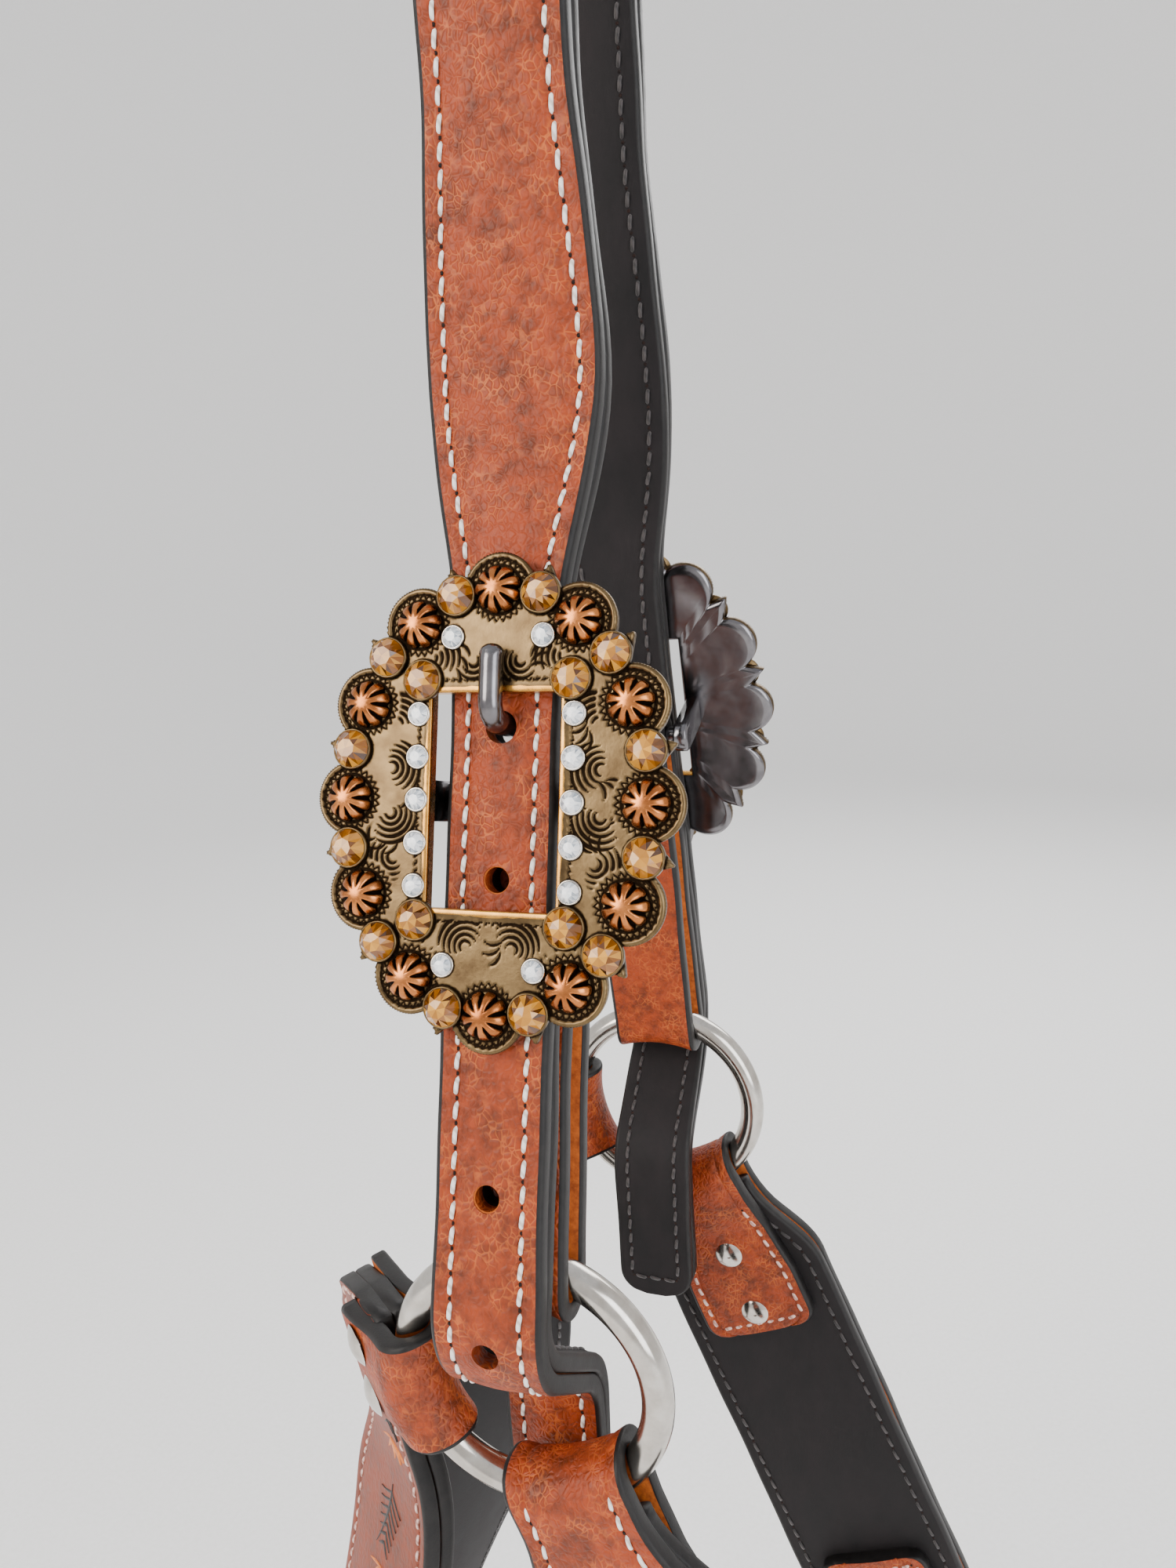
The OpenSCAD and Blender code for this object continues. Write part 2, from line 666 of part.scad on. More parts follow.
module tug_tongue(right) {
    color("#b8b4ae") on_side(right) at_tug_buckle() difference() {
        union() {
            rotate([0, 90, 0]) cylinder(h = tug_tongue_d + 0.6, d = bar_d + 3.6, center = true);
            rotate([180 - tug_tongue_tilt, 0, 0]) {
                cylinder(h = frame_len + tongue_over, d = tug_tongue_d);
                translate([0, 0, frame_len + tongue_over]) sphere(d = tug_tongue_d);
            }
        }
        rotate([0, 90, 0]) cylinder(h = 20, d = bar_d + 2 * fit_gap, center = true);
    }
}

// ---- girth strap and snap --------------------------------------------------
eye_d = 5;
eye_half = girth_w / 2 + 4;
eye_fall = 12;
girth_top = centre_z - ring_r;
girth_screw_in = 30;
girth_screw_ups = [girth_screw_in, girth_len - girth_screw_in];
eye_out = eye_d / 2 + loop_slack + face_t;
// Radius about the hinge that stays clear of the curved wire at a distance along the hinge
function flare(x) = ring_r - sqrt(ring_r * ring_r - x * x)
    + (wire_r + part_gap) * ring_r / sqrt(ring_r * ring_r - x * x);
module at_girth() { translate([-chest_ahead, 0, girth_top]) rotate([0, 0, -90]) children(); }
module girth_strap() {
    color("sienna") at_girth() difference() {
        translate([0, 0, -girth_len]) difference() {
            rotate([90, 0, 90]) linear_extrude(girth_w, center = true) difference() {
                polygon(belt(loop_out, eye_out, girth_len));
                polygon(belt(loop_in, eye_out - face_t, girth_len));
            }
            for (up = girth_screw_ups) translate([0, 0, up]) rotate([90, 0, 0]) screw_holes();
        }
        rotate([0, 90, 0]) rotate_extrude() polygon(concat([[0, -girth_w]],
            [for (k = [-6:6]) [flare(k / 6 * girth_w / 2), k / 6 * (girth_w / 2 + 0.5)]], [[0, girth_w]]));
    }
}
module girth_screws() {
    color("silver") at_girth() translate([0, 0, -girth_len]) for (up = girth_screw_ups) {
        half = belt_half(loop_out, eye_out, up / girth_len) + head_gap;
        translate([0, 0, up]) rotate([90, 0, 0]) post_screw(-half, half);
    }
}
// The snap hangs in the plane of the centre ring, with Z at its eye's bar
cap_h = 26;
cap_d = 15;
side_d = 9;
cap_top = -eye_fall - 4;
cap_low = cap_top - cap_h;
stud_d = 6;
stud_len = 7;
stud_head_d = 9;
stud_head_t = 3;
head_low = cap_top - stud_len - stud_head_t + 1;
bolt_d = 5;
hook_r = 9.5;
hook_d = 6.6;
hook_fall = 26;
bolt_tip = -hook_fall + 5;
module at_snap() { at_girth() translate([0, 0, -girth_len]) children(); }
module snap_swivel() {
    color("silver") at_snap() {
        for (d = [0, eye_fall]) translate([0, 0, -d]) rotate([0, 90, 0]) cylinder(h = 2 * eye_half, d = eye_d, center = true);
        for (s = [-1, 1]) translate([s * eye_half, 0, -eye_fall]) {
            cylinder(h = eye_fall, d = eye_d);
            for (up = [0, eye_fall]) translate([0, 0, up]) sphere(d = eye_d);
        }
        translate([0, 0, cap_top - stud_len]) cylinder(h = stud_len + 4, d = stud_d);
        translate([0, 0, head_low]) cylinder(h = stud_head_t, d = stud_head_d);
    }
}
module snap_body() {
    color("silver") at_snap() difference() {
        union() {
            translate([0, 0, cap_low]) cylinder(h = cap_h, d = cap_d);
            translate([-hook_r, 0, cap_low]) cylinder(h = cap_h - 8, d = side_d);
            translate([hook_r, 0, cap_low]) cylinder(h = cap_h - 2, d = side_d);
            translate([-hook_r, 0, cap_low - hook_fall]) cylinder(h = hook_fall + 4, d = hook_d);
            translate([0, 0, cap_low - hook_fall]) rotate([90, 0, 0]) rotate([0, 0, 180])
                rotate_extrude(angle = 180) translate([hook_r, 0]) circle(d = hook_d);
            translate([hook_r, 0, cap_low - hook_fall]) cylinder(h = 4.6, d = hook_d);
        }
        // Socket for the swivel's stud and its head
        translate([0, 0, cap_top - stud_len]) cylinder(h = 20, d = stud_d + 0.3);
        translate([0, 0, head_low - 0.2]) cylinder(h = stud_head_t + 0.4, d = stud_head_d + 0.5);
        // Bore for the bolt, with a slot for its thumb piece
        translate([hook_r, 0, cap_low - 1]) cylinder(h = cap_h - 3, d = bolt_d + 2 * fit_gap);
        translate([hook_r, -1.6, cap_low + 2]) cube([10, 3.2, bolt_travel + 5.4]);
    }
}
module snap_bolt() {
    color("#b8b4ae") at_snap() translate([hook_r, 0, cap_low]) {
        translate([0, 0, bolt_tip]) cylinder(h = 12 - bolt_tip, d = bolt_d);
        translate([0, -1.2, 2.6]) cube([6.5, 2.4, 4.2]);
        translate([7.4, 0, 4.7]) sphere(d = 5);
    }
}

// ---- the assembly ----------------------------------------------------------
wither_face();
wither_lining();
buckle_plate(false);  // buckle_plate_left
buckle_plate(true);  // buckle_plate_right
heel_bar(false);  // heel_bar_left
heel_bar(true);  // heel_bar_right
berries(false);  // berries_left
berries(true);  // berries_right
amber_crystals(false);  // amber_crystals_left
amber_crystals(true);  // amber_crystals_right
rhinestones(false);  // rhinestones_left
rhinestones(true);  // rhinestones_right
tongue(false);  // tongue_left
tongue(true);  // tongue_right
ring_tab(false);  // ring_tab_left
ring_tab(true);  // ring_tab_right
tab_screws(false);  // tab_screws_left
tab_screws(true);  // tab_screws_right
shoulder_ring(false);  // shoulder_ring_left
shoulder_ring(true);  // shoulder_ring_right
chest_face(false);  // chest_face_left
chest_face(true);  // chest_face_right
chest_lining(false);  // chest_lining_left
chest_lining(true);  // chest_lining_right
chest_upper_loop(false);  // chest_upper_loop_left
chest_upper_loop(true);  // chest_upper_loop_right
chest_lower_loop(false);  // chest_lower_loop_left
chest_lower_loop(true);  // chest_lower_loop_right
chest_screws(false);  // chest_screws_left
chest_screws(true);  // chest_screws_right
centre_ring();
tug_face(false);  // tug_face_left
tug_face(true);  // tug_face_right
tug_lining(false);  // tug_lining_left
tug_lining(true);  // tug_lining_right
tug_screws(false);  // tug_screws_left
tug_screws(true);  // tug_screws_right
tug_buckle(false);  // tug_buckle_left
tug_buckle(true);  // tug_buckle_right
tug_roller(false);  // tug_roller_left
tug_roller(true);  // tug_roller_right
tug_tongue(false);  // tug_tongue_left
tug_tongue(true);  // tug_tongue_right
girth_strap();
girth_screws();
snap_swivel();
snap_body();
snap_bolt();
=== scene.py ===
# Looks of a western breast collar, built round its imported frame.
import math

import bmesh
import bpy
import numpy as np
from mathutils import Matrix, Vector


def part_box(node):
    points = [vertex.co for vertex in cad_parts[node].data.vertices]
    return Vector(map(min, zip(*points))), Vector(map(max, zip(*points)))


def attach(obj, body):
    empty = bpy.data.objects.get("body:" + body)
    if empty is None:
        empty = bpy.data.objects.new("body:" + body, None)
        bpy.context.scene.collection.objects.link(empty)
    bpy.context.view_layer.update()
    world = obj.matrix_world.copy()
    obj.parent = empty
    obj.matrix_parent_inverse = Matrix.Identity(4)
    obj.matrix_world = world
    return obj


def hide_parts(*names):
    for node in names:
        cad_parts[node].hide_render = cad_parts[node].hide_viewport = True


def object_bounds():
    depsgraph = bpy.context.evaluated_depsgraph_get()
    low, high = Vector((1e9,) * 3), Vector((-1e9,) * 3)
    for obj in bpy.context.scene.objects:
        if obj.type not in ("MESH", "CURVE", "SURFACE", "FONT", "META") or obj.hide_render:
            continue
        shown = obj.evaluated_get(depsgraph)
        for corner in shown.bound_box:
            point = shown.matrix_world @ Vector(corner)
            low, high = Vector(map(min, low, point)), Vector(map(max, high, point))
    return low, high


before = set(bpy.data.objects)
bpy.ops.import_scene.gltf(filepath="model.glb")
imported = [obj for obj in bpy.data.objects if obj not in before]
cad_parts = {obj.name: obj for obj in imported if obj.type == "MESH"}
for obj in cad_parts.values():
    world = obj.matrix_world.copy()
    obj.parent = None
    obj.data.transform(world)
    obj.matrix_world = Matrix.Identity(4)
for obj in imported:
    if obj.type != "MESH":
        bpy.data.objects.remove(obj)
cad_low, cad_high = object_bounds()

rng = np.random.default_rng(7)
MM = 0.001

# Sizes of the collar's pieces, in mm, the same as the frame's
face_t = 3.4
lining_t = 3.4
rest_r = 18.0
strap_w = 25.4
swell_w = 30.8
billet_w = 19.0
swell_up = 68.0
bend_r = 60.0
leg_lean = 16.0
buckle_drop = 225.0
hole_pitch = 25.4
wire_r = 2.9
ring_r = 23.5
loop_slack = 0.6
loop_in = wire_r + loop_slack
loop_mid = loop_in + face_t / 2
part_gap = 0.4
heel_gap = 0.25
plate_t = 2.6
plate_back = face_t + part_gap
plate_front = plate_back + plate_t
window_w = 22.4
window_h = 35.0
ring_a = 25.4
ring_b = 34.0
lobe_d = 12.4
berry_d = 7.8
amber_d = 6.2
clear_d = 3.4
heel_d = 4.0
heel_in = lining_t + part_gap + heel_d / 2 + heel_gap + face_t
tongue_up = hole_pitch / 2
tab_w = 20.0
tug_w = 44.0
tug_neck_w = 24.0
tug_len = 186.0
tug_lean = 22.0
chest_w = 44.0
chest_loop_w = 22.0
chest_turn = 78.0
chest_yaw = 42.0
foot_turn = 40.0
girth_w = 20.0
girth_len = 96.0


def sin(a):
    return math.sin(math.radians(a))


def cos(a):
    return math.cos(math.radians(a))


def centre_of(node):
    low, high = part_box(node)
    return np.array((low + high) / 2) / MM


shoulder_centre = centre_of("shoulder_ring_left")
centre_ring_at = centre_of("centre_ring")
heel_at = centre_of("heel_bar_left")
buckle_at = heel_at + heel_in * np.array([0.0, -cos(leg_lean), sin(leg_lean)])


# ---- directions and paths ---------------------------------------------------
def turned(axis, degrees):
    return np.array(Matrix.Rotation(math.radians(degrees), 3, axis))


class Place:
    """A local frame: across, inward and up, with its own origin, in mm."""

    def __init__(self, origin, axes):
        self.origin = np.array(origin, float)
        self.axes = np.array(axes, float)

    def __call__(self, across, inward, up):
        return self.origin + self.axes @ np.array([across, inward, up], float)

    def many(self, points):
        return self.origin + np.asarray(points, float) @ self.axes.T

    def way(self, across, inward, up):
        return self.axes @ np.array([across, inward, up], float)


at_buckle = Place(buckle_at, turned("X", -leg_lean))
ring_top = shoulder_centre + np.array([0, 0, ring_r])
tab_reach = heel_at - ring_top
tab_len = float(np.hypot(tab_reach[1], tab_reach[2]))
tab_lean = math.degrees(math.atan2(tab_reach[1], tab_reach[2]))
at_tab = Place(ring_top, turned("X", -tab_lean))
neck_axes = turned("Y", chest_turn) @ turned("X", chest_yaw)
neck_dir = np.array([-sin(chest_turn), 0, -cos(chest_turn)])
wire_point = shoulder_centre + ring_r * neck_dir
at_neck = Place(wire_point, neck_axes)
foot_axes = turned("X", 180 + foot_turn) @ turned("Z", -90)
foot_dir = foot_axes[:, 2]
at_foot = Place(centre_ring_at - ring_r * foot_dir, foot_axes)
at_tug = Place(shoulder_centre, turned("Y", -tug_lean))
girth_top = centre_ring_at - np.array([0, 0, ring_r])
at_girth = Place(girth_top, turned("Z", -90))


def walk(start, heading, moves, step=2.0, arc_step=4.0):
    """Points [inward, up, heading] along straights (length, 0) and arcs (radius, turn)."""
    u, v, a = start[0], start[1], heading
    path = [(u, v, a)]
    for size, turn in moves:
        if turn == 0:
            count = max(1, math.ceil(size / step))
            for k in range(1, count + 1):
                path.append((u + sin(a) * size * k / count, v - cos(a) * size * k / count, a))
            u, v = path[-1][0], path[-1][1]
        else:
            count = max(2, math.ceil(abs(turn) / arc_step))
            side = math.copysign(size, turn)
            for k in range(1, count + 1):
                b = a + turn * k / count
                path.append((u + side * (cos(a) - cos(b)), v + side * (sin(a) - sin(b)), b))
            a += turn
            u, v = path[-1][0], path[-1][1]
    return path


def ease(t):
    return (1 - math.cos(math.pi * min(1.0, max(0.0, t)))) / 2


class Band:
    """A strip of leather: centre points, across and out directions and half widths, in mm."""

    def __init__(self, points, across, out, half, closed=False):
        self.p = np.array(points, float)
        self.a = np.array(across, float)
        self.o = np.array(out, float)
        self.w = np.array(half, float)
        self.closed = closed
        gaps = np.linalg.norm(np.diff(self.p, axis=0), axis=1)
        self.s = np.concatenate([[0], np.cumsum(gaps)])
        self.length = float(self.s[-1])

    def lookup(self, table, s):
        if table.ndim == 1:
            return np.interp(s, self.s, table)
        return np.stack([np.interp(s, self.s, table[:, k]) for k in range(3)], axis=-1)

    def at(self, s, x, lift):
        """Points at distances s along, x across and lift out of the band's mid surface."""
        s, x, lift = (np.atleast_1d(np.asarray(v, float)) for v in (s, x, lift))
        sideways = self.lookup(self.a, s) * x[..., None]
        outward = self.lookup(self.o, s) * lift[..., None]
        return self.lookup(self.p, s) + sideways + outward


def path_band(path, place, half, outside=1.0):
    """A band whose path is drawn in a place's inward and up directions."""
    points = [place(0, u, v) for u, v, a in path]
    out = [place.way(0, -cos(a) * outside, -sin(a) * outside) for u, v, a in path]
    across = [place.way(1, 0, 0)] * len(path)
    widths = [half(k) if callable(half) else half for k in range(len(path))]
    return Band(points, across, out, widths)


# ---- meshes -----------------------------------------------------------------
def solid(name, verts, faces, finishes, marks=None, smooth=True, tones=None, fields=None):
    """A mesh object from points in mm, with one finish number a face."""
    mesh = bpy.data.meshes.new(name)
    verts = np.asarray(verts, float) * MM
    mesh.from_pydata(verts.tolist(), [], [tuple(int(i) for i in f) for f in faces])
    for finish in finishes:
        mesh.materials.append(finish)
    if marks is not None:
        mesh.polygons.foreach_set("material_index", np.asarray(marks, np.int32))
    mesh.polygons.foreach_set("use_smooth", np.full(len(mesh.polygons), smooth))
    for key, values in (fields or {}).items():
        table = mesh.attributes.new(key, "FLOAT", "POINT")
        table.data.foreach_set("value", np.asarray(values, np.float32))
    # Per-face tone: the painted reflections and glints of the cut stones' facets
    if tones is not None:
        table = mesh.attributes.new("tone", "FLOAT", "FACE")
        table.data.foreach_set("value", np.asarray(tones, np.float32))
    mesh.update()
    tidy = bmesh.new()
    tidy.from_mesh(mesh)
    bmesh.ops.recalc_face_normals(tidy, faces=tidy.faces)
    tidy.to_mesh(mesh)
    tidy.free()
    made = bpy.data.objects.new(name, mesh)
    bpy.context.scene.collection.objects.link(made)
    return made


def grid_faces(rows, columns, closed_rows=False, closed_columns=True):
    """Quads of a rows by columns grid of points, wrapped round where closed."""
    r = np.arange(rows if closed_rows else rows - 1)
    c = np.arange(columns if closed_columns else columns - 1)
    r, c = np.meshgrid(r, c, indexing="ij")
    r2, c2 = (r + 1) % rows, (c + 1) % columns
    quads = np.stack([r * columns + c, r * columns + c2, r2 * columns + c2, r2 * columns + c], axis=-1)
    return quads.reshape(-1, 4)


def settle(piece, body, slot=None, *nodes):
    """Rides a finished piece on its body and hides the frame parts it stands in for."""
    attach(piece, body)
    if nodes:
        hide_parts(*nodes)
    return piece


def pair(piece, body, slot=None, *nodes):
    """Settles a left piece and its mirror image, named for their sides where the body is."""
    twin = bpy.data.objects.new(piece.name.replace("_left", "_right"), piece.data.copy())
    twin.data.transform(Matrix.Diagonal((1, -1, 1, 1)))
    twin.data.flip_normals()
    bpy.context.scene.collection.objects.link(twin)
    for side, one in (("left", piece), ("right", twin)):
        settle(one, body.replace("SIDE", side), slot, *[n.replace("SIDE", side) for n in nodes])
    return piece, twin


RIM = 1.1
SEAM_IN = 3.6


def profile(w, lo, hi, groove, crown, low_round):
    """Points [x, lift] round a strip's section, with a mark for face 0, edge 1 and back 2."""
    e = 0.95
    seam = min(SEAM_IN, w * 0.5)
    flat = [e, RIM + 0.25, seam - 0.75, seam - 0.35, seam, seam + 0.35, seam + 0.75]
    flat += [seam + 0.75 + (w - seam - 0.75) * t for t in (0.2, 0.45, 0.72, 1.0)]
    top = []
    for d in flat:
        x = w - d
        lift = hi - 0.12 * max(0.0, 1 - d / (RIM + 0.25))
        if groove:
            lift -= 0.32 * math.exp(-((d - seam) / 0.42) ** 2)
            if d > seam:
                lift += crown * (1 - (x / (w - seam)) ** 2)
        top.append((x, lift))
    right = [(w - e + e * sin(t), hi - e + (e - 0.12) * cos(t)) for t in (78, 52, 26)][::-1]
    low = [(w - low_round * (1 - cos(t)), lo + low_round * (1 - sin(t))) for t in (0, 45, 90)]
    half = top[::-1] + right + [(w, (hi + lo) / 2 - 0.2)] + low
    back = [(w * t, lo) for t in (0.72, 0.4, 0.0)]
    loop = half + back + [(-x, lift) for x, lift in reversed(half[1:] + back[:-1])]
    marks = []
    count = len(loop)
    for k in range(count):
        (x0, l0), (x1, l1) = loop[k], loop[(k + 1) % count]
        x, lift = (abs(x0) + abs(x1)) / 2, (l0 + l1) / 2
        if lift > hi - 0.75 and x < w - RIM + 0.3:
            marks.append(0)
        elif lift < lo + 0.01 and x < w - 0.2:
            marks.append(2)
        else:
            marks.append(1)
    return np.array(loop), marks


def leather(name, band, lo, hi, finishes, groove=False, crown=0.0, low_round=0.35, wander=0.12, caps=True):
    """A strip of leather between two lifts from its band, with burnished edges."""
    rows = []
    for k in range(len(band.p)):
        s = band.s[k]
        w = band.w[k] + wander * (math.sin(s / 9.7 + lo) + 0.6 * math.sin(s / 4.1 + 2 * lo))
        loop, marks = profile(w, lo, hi, groove, crown, low_round)
        rows.append(band.p[k] + band.a[k] * loop[:, :1] + band.o[k] * loop[:, 1:])
    columns = len(marks)
    verts = np.concatenate(rows)
    faces = grid_faces(len(rows), columns, closed_rows=band.closed).tolist()
    numbers = marks * (len(rows) if band.closed else len(rows) - 1)
    if not band.closed and caps:
        faces.append(list(range(columns)))
        faces.append([len(verts) - columns + k for k in range(columns)])
        numbers += [1, 1]
    return solid(name, verts, faces, finishes, numbers)


# Three quads that close an eight-sided end
END_QUADS = np.array([[0, 1, 2, 3], [0, 3, 4, 7], [4, 5, 6, 7]])


def capsules(spots, ways, ups, length, thick, high):
    """Stitches: points and quads of short rounded bars that dive at both ends."""
    rings, around = 7, 8
    t = np.linspace(-1, 1, rings)
    verts, faces = [], []
    fat = np.sqrt(np.clip(1 - t**4, 0.02, 1))
    angles = np.arange(around) * 2 * np.pi / around
    quads = grid_faces(rings, around)
    for spot, way, up in zip(spots, ways, ups):
        side = np.cross(way, up)
        base = len(verts) * rings * around
        centre = spot + np.outer(t * length / 2, way) + np.outer(high * (1 - t**2) - 0.3 * t**4, up)
        ring = centre[:, None, :] + (fat[:, None, None] * thick) * (
            np.cos(angles)[None, :, None] * side + 0.8 * np.sin(angles)[None, :, None] * up)
        verts.append(ring.reshape(-1, 3))
        faces.append(quads + base)
        first = np.arange(around) + base
        faces.append(first[END_QUADS])
        last = first + (rings - 1) * around
        faces.append(last[END_QUADS[:, ::-1]])
    return np.concatenate(verts), np.concatenate(faces)


def stitches(name, lines, thread, pitch=4.0, slant=7.0, thick=0.42, high=0.26):
    """Lockstitch seams: thread bars with an awl hole between each two, drawn as a dark disc of painted shade.
    """
    spots, ways, ups, holes, hole_ups = [], [], [], [], []
    for points, normals in lines:
        gaps = np.linalg.norm(np.diff(points, axis=0), axis=1)
        run = np.concatenate([[0], np.cumsum(gaps)])
        count = max(2, round(run[-1] / pitch))
        step = run[-1] / count

        def along(s, table):
            return np.stack([np.interp(s, run, table[:, k]) for k in range(3)], axis=-1)

        mids = (np.arange(count) + 0.5) * step
        way = along(mids + 0.4, points) - along(mids - 0.4, points)
        way /= np.linalg.norm(way, axis=1)[:, None]
        up = along(mids, normals)
        up /= np.linalg.norm(up, axis=1)[:, None]
        side = np.cross(way, up)
        lean = np.radians(slant + rng.normal(0, 1.2, count))[:, None]
        spots.append(along(mids, points))
        ways.append(way * np.cos(lean) + side * np.sin(lean))
        ups.append(up)
        ends = np.arange(count + 1) * step
        holes.append(along(ends, points))
        e_up = along(ends, normals)
        hole_ups.append(e_up / np.linalg.norm(e_up, axis=1)[:, None])
    spots, ways, ups = (np.concatenate(v) for v in (spots, ways, ups))
    verts, faces = capsules(spots, ways, ups, pitch * 0.84, thick, high)
    marks = [0] * len(faces)
    holes, hole_ups = np.concatenate(holes), np.concatenate(hole_ups)
    # Awl holes: dark discs of painted shade, sunk a little into the leather
    eye = np.arange(8) * np.pi / 4
    extra, more = [], []
    for spot, up in zip(holes, hole_ups):
        side = np.cross(up, [0.31, 0.52, 0.79])
        side /= np.linalg.norm(side)
        other = np.cross(up, side)
        base = len(verts) + 16 * len(extra)
        disc = np.outer(np.cos(eye), side) + np.outer(np.sin(eye), other)
        extra.append(np.concatenate([spot + 0.36 * disc + 0.03 * up, spot + 0.3 * disc - 0.4 * up]))
        more.append([base + k for k in range(8)])
        more.append([base + 8 + k for k in range(7, -1, -1)])
        more += [[base + k, base + 8 + k, base + 8 + (k + 1) % 8, base + (k + 1) % 8] for k in range(8)]
    verts = np.concatenate([verts] + extra)
    return solid(name, verts, faces.tolist() + more, [thread, painted_awl_hole_shade], marks + [1] * len(more))


def edge_line(band, s0, s1, inset, lift, side, facing=1):
    """A seam line beside one edge of a band. Facing is -1 on the band's back."""
    s = np.arange(s0, s1, 1.0)
    x = side * (band.lookup(band.w, s) - inset)
    return band.at(s, x, np.full(len(s), lift)), facing * band.lookup(band.o, s)


def cross_line(band, s, reach, lift, count=12, facing=1):
    """A seam line across a band."""
    s = np.full(count, s)
    x = np.linspace(-reach, reach, count)
    return band.at(s, x, np.full(count, lift)), facing * band.lookup(band.o, s)


# ---- finishes ---------------------------------------------------------------
def linear(code):
    """An sRGB hex colour as linear red, green, blue and alpha."""
    parts = [int(code[k:k + 2], 16) / 255 for k in (1, 3, 5)]
    return [p / 12.92 if p <= 0.04045 else ((p + 0.055) / 1.055) ** 2.4 for p in parts] + [1.0]


def add(tree, kind, inputs=None, stops=None, **settings):
    """Adds a node: its settings, then each input as a link or a value."""
    node = tree.nodes.new("ShaderNode" + kind)
    for key, value in settings.items():
        setattr(node, key, value)
    for key, value in (inputs or {}).items():
        socket = node.inputs[key]
        if isinstance(value, bpy.types.NodeSocket):
            tree.links.new(value, socket)
        else:
            socket.default_value = value
    if stops:
        ramp = node.color_ramp
        while len(ramp.elements) < len(stops):
            ramp.elements.new(0.5)
        for element, (place, colour) in zip(ramp.elements, stops):
            element.position = place
            element.color = linear(colour)
    return node


def finish_of(name, colour="#808080", **sockets):
    """A new finish with its shader: sockets given by name are set on the shader itself."""
    made = bpy.data.materials.new(name)
    made.use_nodes = True
    tree = made.node_tree
    shader = tree.nodes["Principled BSDF"]
    shader.inputs["Base Color"].default_value = linear(colour)
    for key, value in sockets.items():
        shader.inputs[key.replace("_", " ")].default_value = value
    return made, tree, shader


def per_mm(size):
    """Texture scale that gives features of a size in mm."""
    return 1.0 / (size * MM)


def brown_leather(name, light, dark, fleck, pebble_mm, fleck_share, rough, bump):
    """Drum-dyed, waxed cowhide: a mottled russet, with paler creases between its pebbles."""
    made, tree, shader = finish_of(name, light, IOR=1.36, Coat_Weight=0.03, Coat_Roughness=0.36)
    place = add(tree, "TexCoord").outputs["Object"]
    # Dye that took unevenly: patches 9 mm and 2.5 mm across
    patches_node = add(tree, "TexNoise",
                       {"Vector": place, "Scale": per_mm(9), "Detail": 4.0, "Roughness": 0.62})
    patches = patches_node.outputs["Fac"]
    blots_node = add(tree, "TexNoise",
                     {"Vector": place, "Scale": per_mm(2.5), "Detail": 3.0, "Roughness": 0.6})
    blots = blots_node.outputs["Fac"]
    both = add(tree, "Math", {0: patches, 1: blots}, operation="ADD").outputs[0]
    mean = add(tree, "Math", {0: both, 1: 0.5}, operation="MULTIPLY").outputs[0]
    tone = add(tree, "ValToRGB", {"Fac": mean}, stops=[(0.36, dark), (0.56, light)]).outputs["Color"]
    # Crease network between pebbles, stretched a little down the hide
    warp = add(tree, "TexNoise", {"Vector": place, "Scale": per_mm(3.2), "Detail": 2.0}).outputs["Color"]
    bent_node = add(tree, "MixRGB", {"Fac": 0.0022, "Color1": place, "Color2": warp},
                    blend_type="ADD")
    bent = bent_node.outputs["Color"]
    shape = add(tree, "Mapping", {"Vector": bent, "Scale": (1.0, 1.0, 0.72)}).outputs["Vector"]
    cells_node = add(tree, "TexVoronoi", {"Vector": shape, "Scale": per_mm(pebble_mm)},
                     feature="DISTANCE_TO_EDGE")
    cells = cells_node.outputs["Distance"]
    crease_node = add(tree, "MapRange",
                      {"Value": cells, "From Min": 0.0, "From Max": 0.11, "To Min": 1.0, "To Max": 0.0})
    crease = crease_node.outputs["Result"]
    gate = add(tree, "TexNoise", {"Vector": place, "Scale": per_mm(5), "Detail": 3.0}).outputs["Fac"]
    spread = {"Value": gate, "From Min": 0.44, "From Max": 0.66, "To Min": 0.0, "To Max": fleck_share}
    shown = add(tree, "MapRange", spread).outputs["Result"]
    share = add(tree, "Math", {0: crease, 1: shown}, operation="MULTIPLY").outputs[0]
    colour = add(tree, "MixRGB", {"Fac": share, "Color1": tone, "Color2": linear(fleck)}).outputs["Color"]
    tree.links.new(colour, shader.inputs["Base Color"])
    sheen_node = add(tree, "MapRange", {"Value": blots, "To Min": rough - 0.1, "To Max": rough + 0.12})
    sheen = sheen_node.outputs["Result"]
    tree.links.new(sheen, shader.inputs["Roughness"])
    dome_node = add(tree, "MapRange", {"Value": cells, "From Min": 0.0, "From Max": 0.3},
                    interpolation_type="SMOOTHSTEP")
    dome = dome_node.outputs["Result"]
    pores = add(tree, "TexNoise", {"Vector": place, "Scale": per_mm(0.5), "Detail": 2.0}).outputs["Fac"]
    height = add(tree, "Math", {0: pores, 1: 0.35, 2: dome}, operation="MULTIPLY_ADD").outputs[0]
    relief = add(tree, "Bump", {"Height": height, "Strength": bump, "Distance": 0.00022})
    tree.links.new(relief.outputs["Normal"], shader.inputs["Normal"])
    return made


# Bridle leather of the straps and tugs: small pebbles, many pale creases
strap_leather = brown_leather("waxed_pebbled_bridle_leather", "#963A14", "#5E2710", "#CC6C30",
                              1.15, 0.7, 0.48, 0.6)
# Chest pieces: a smoother oiled side of the same russet
chest_leather = brown_leather("oiled_skirting_leather", "#85330F", "#65290F", "#A04C20", 1.7, 0.25, 0.46, 0.2)


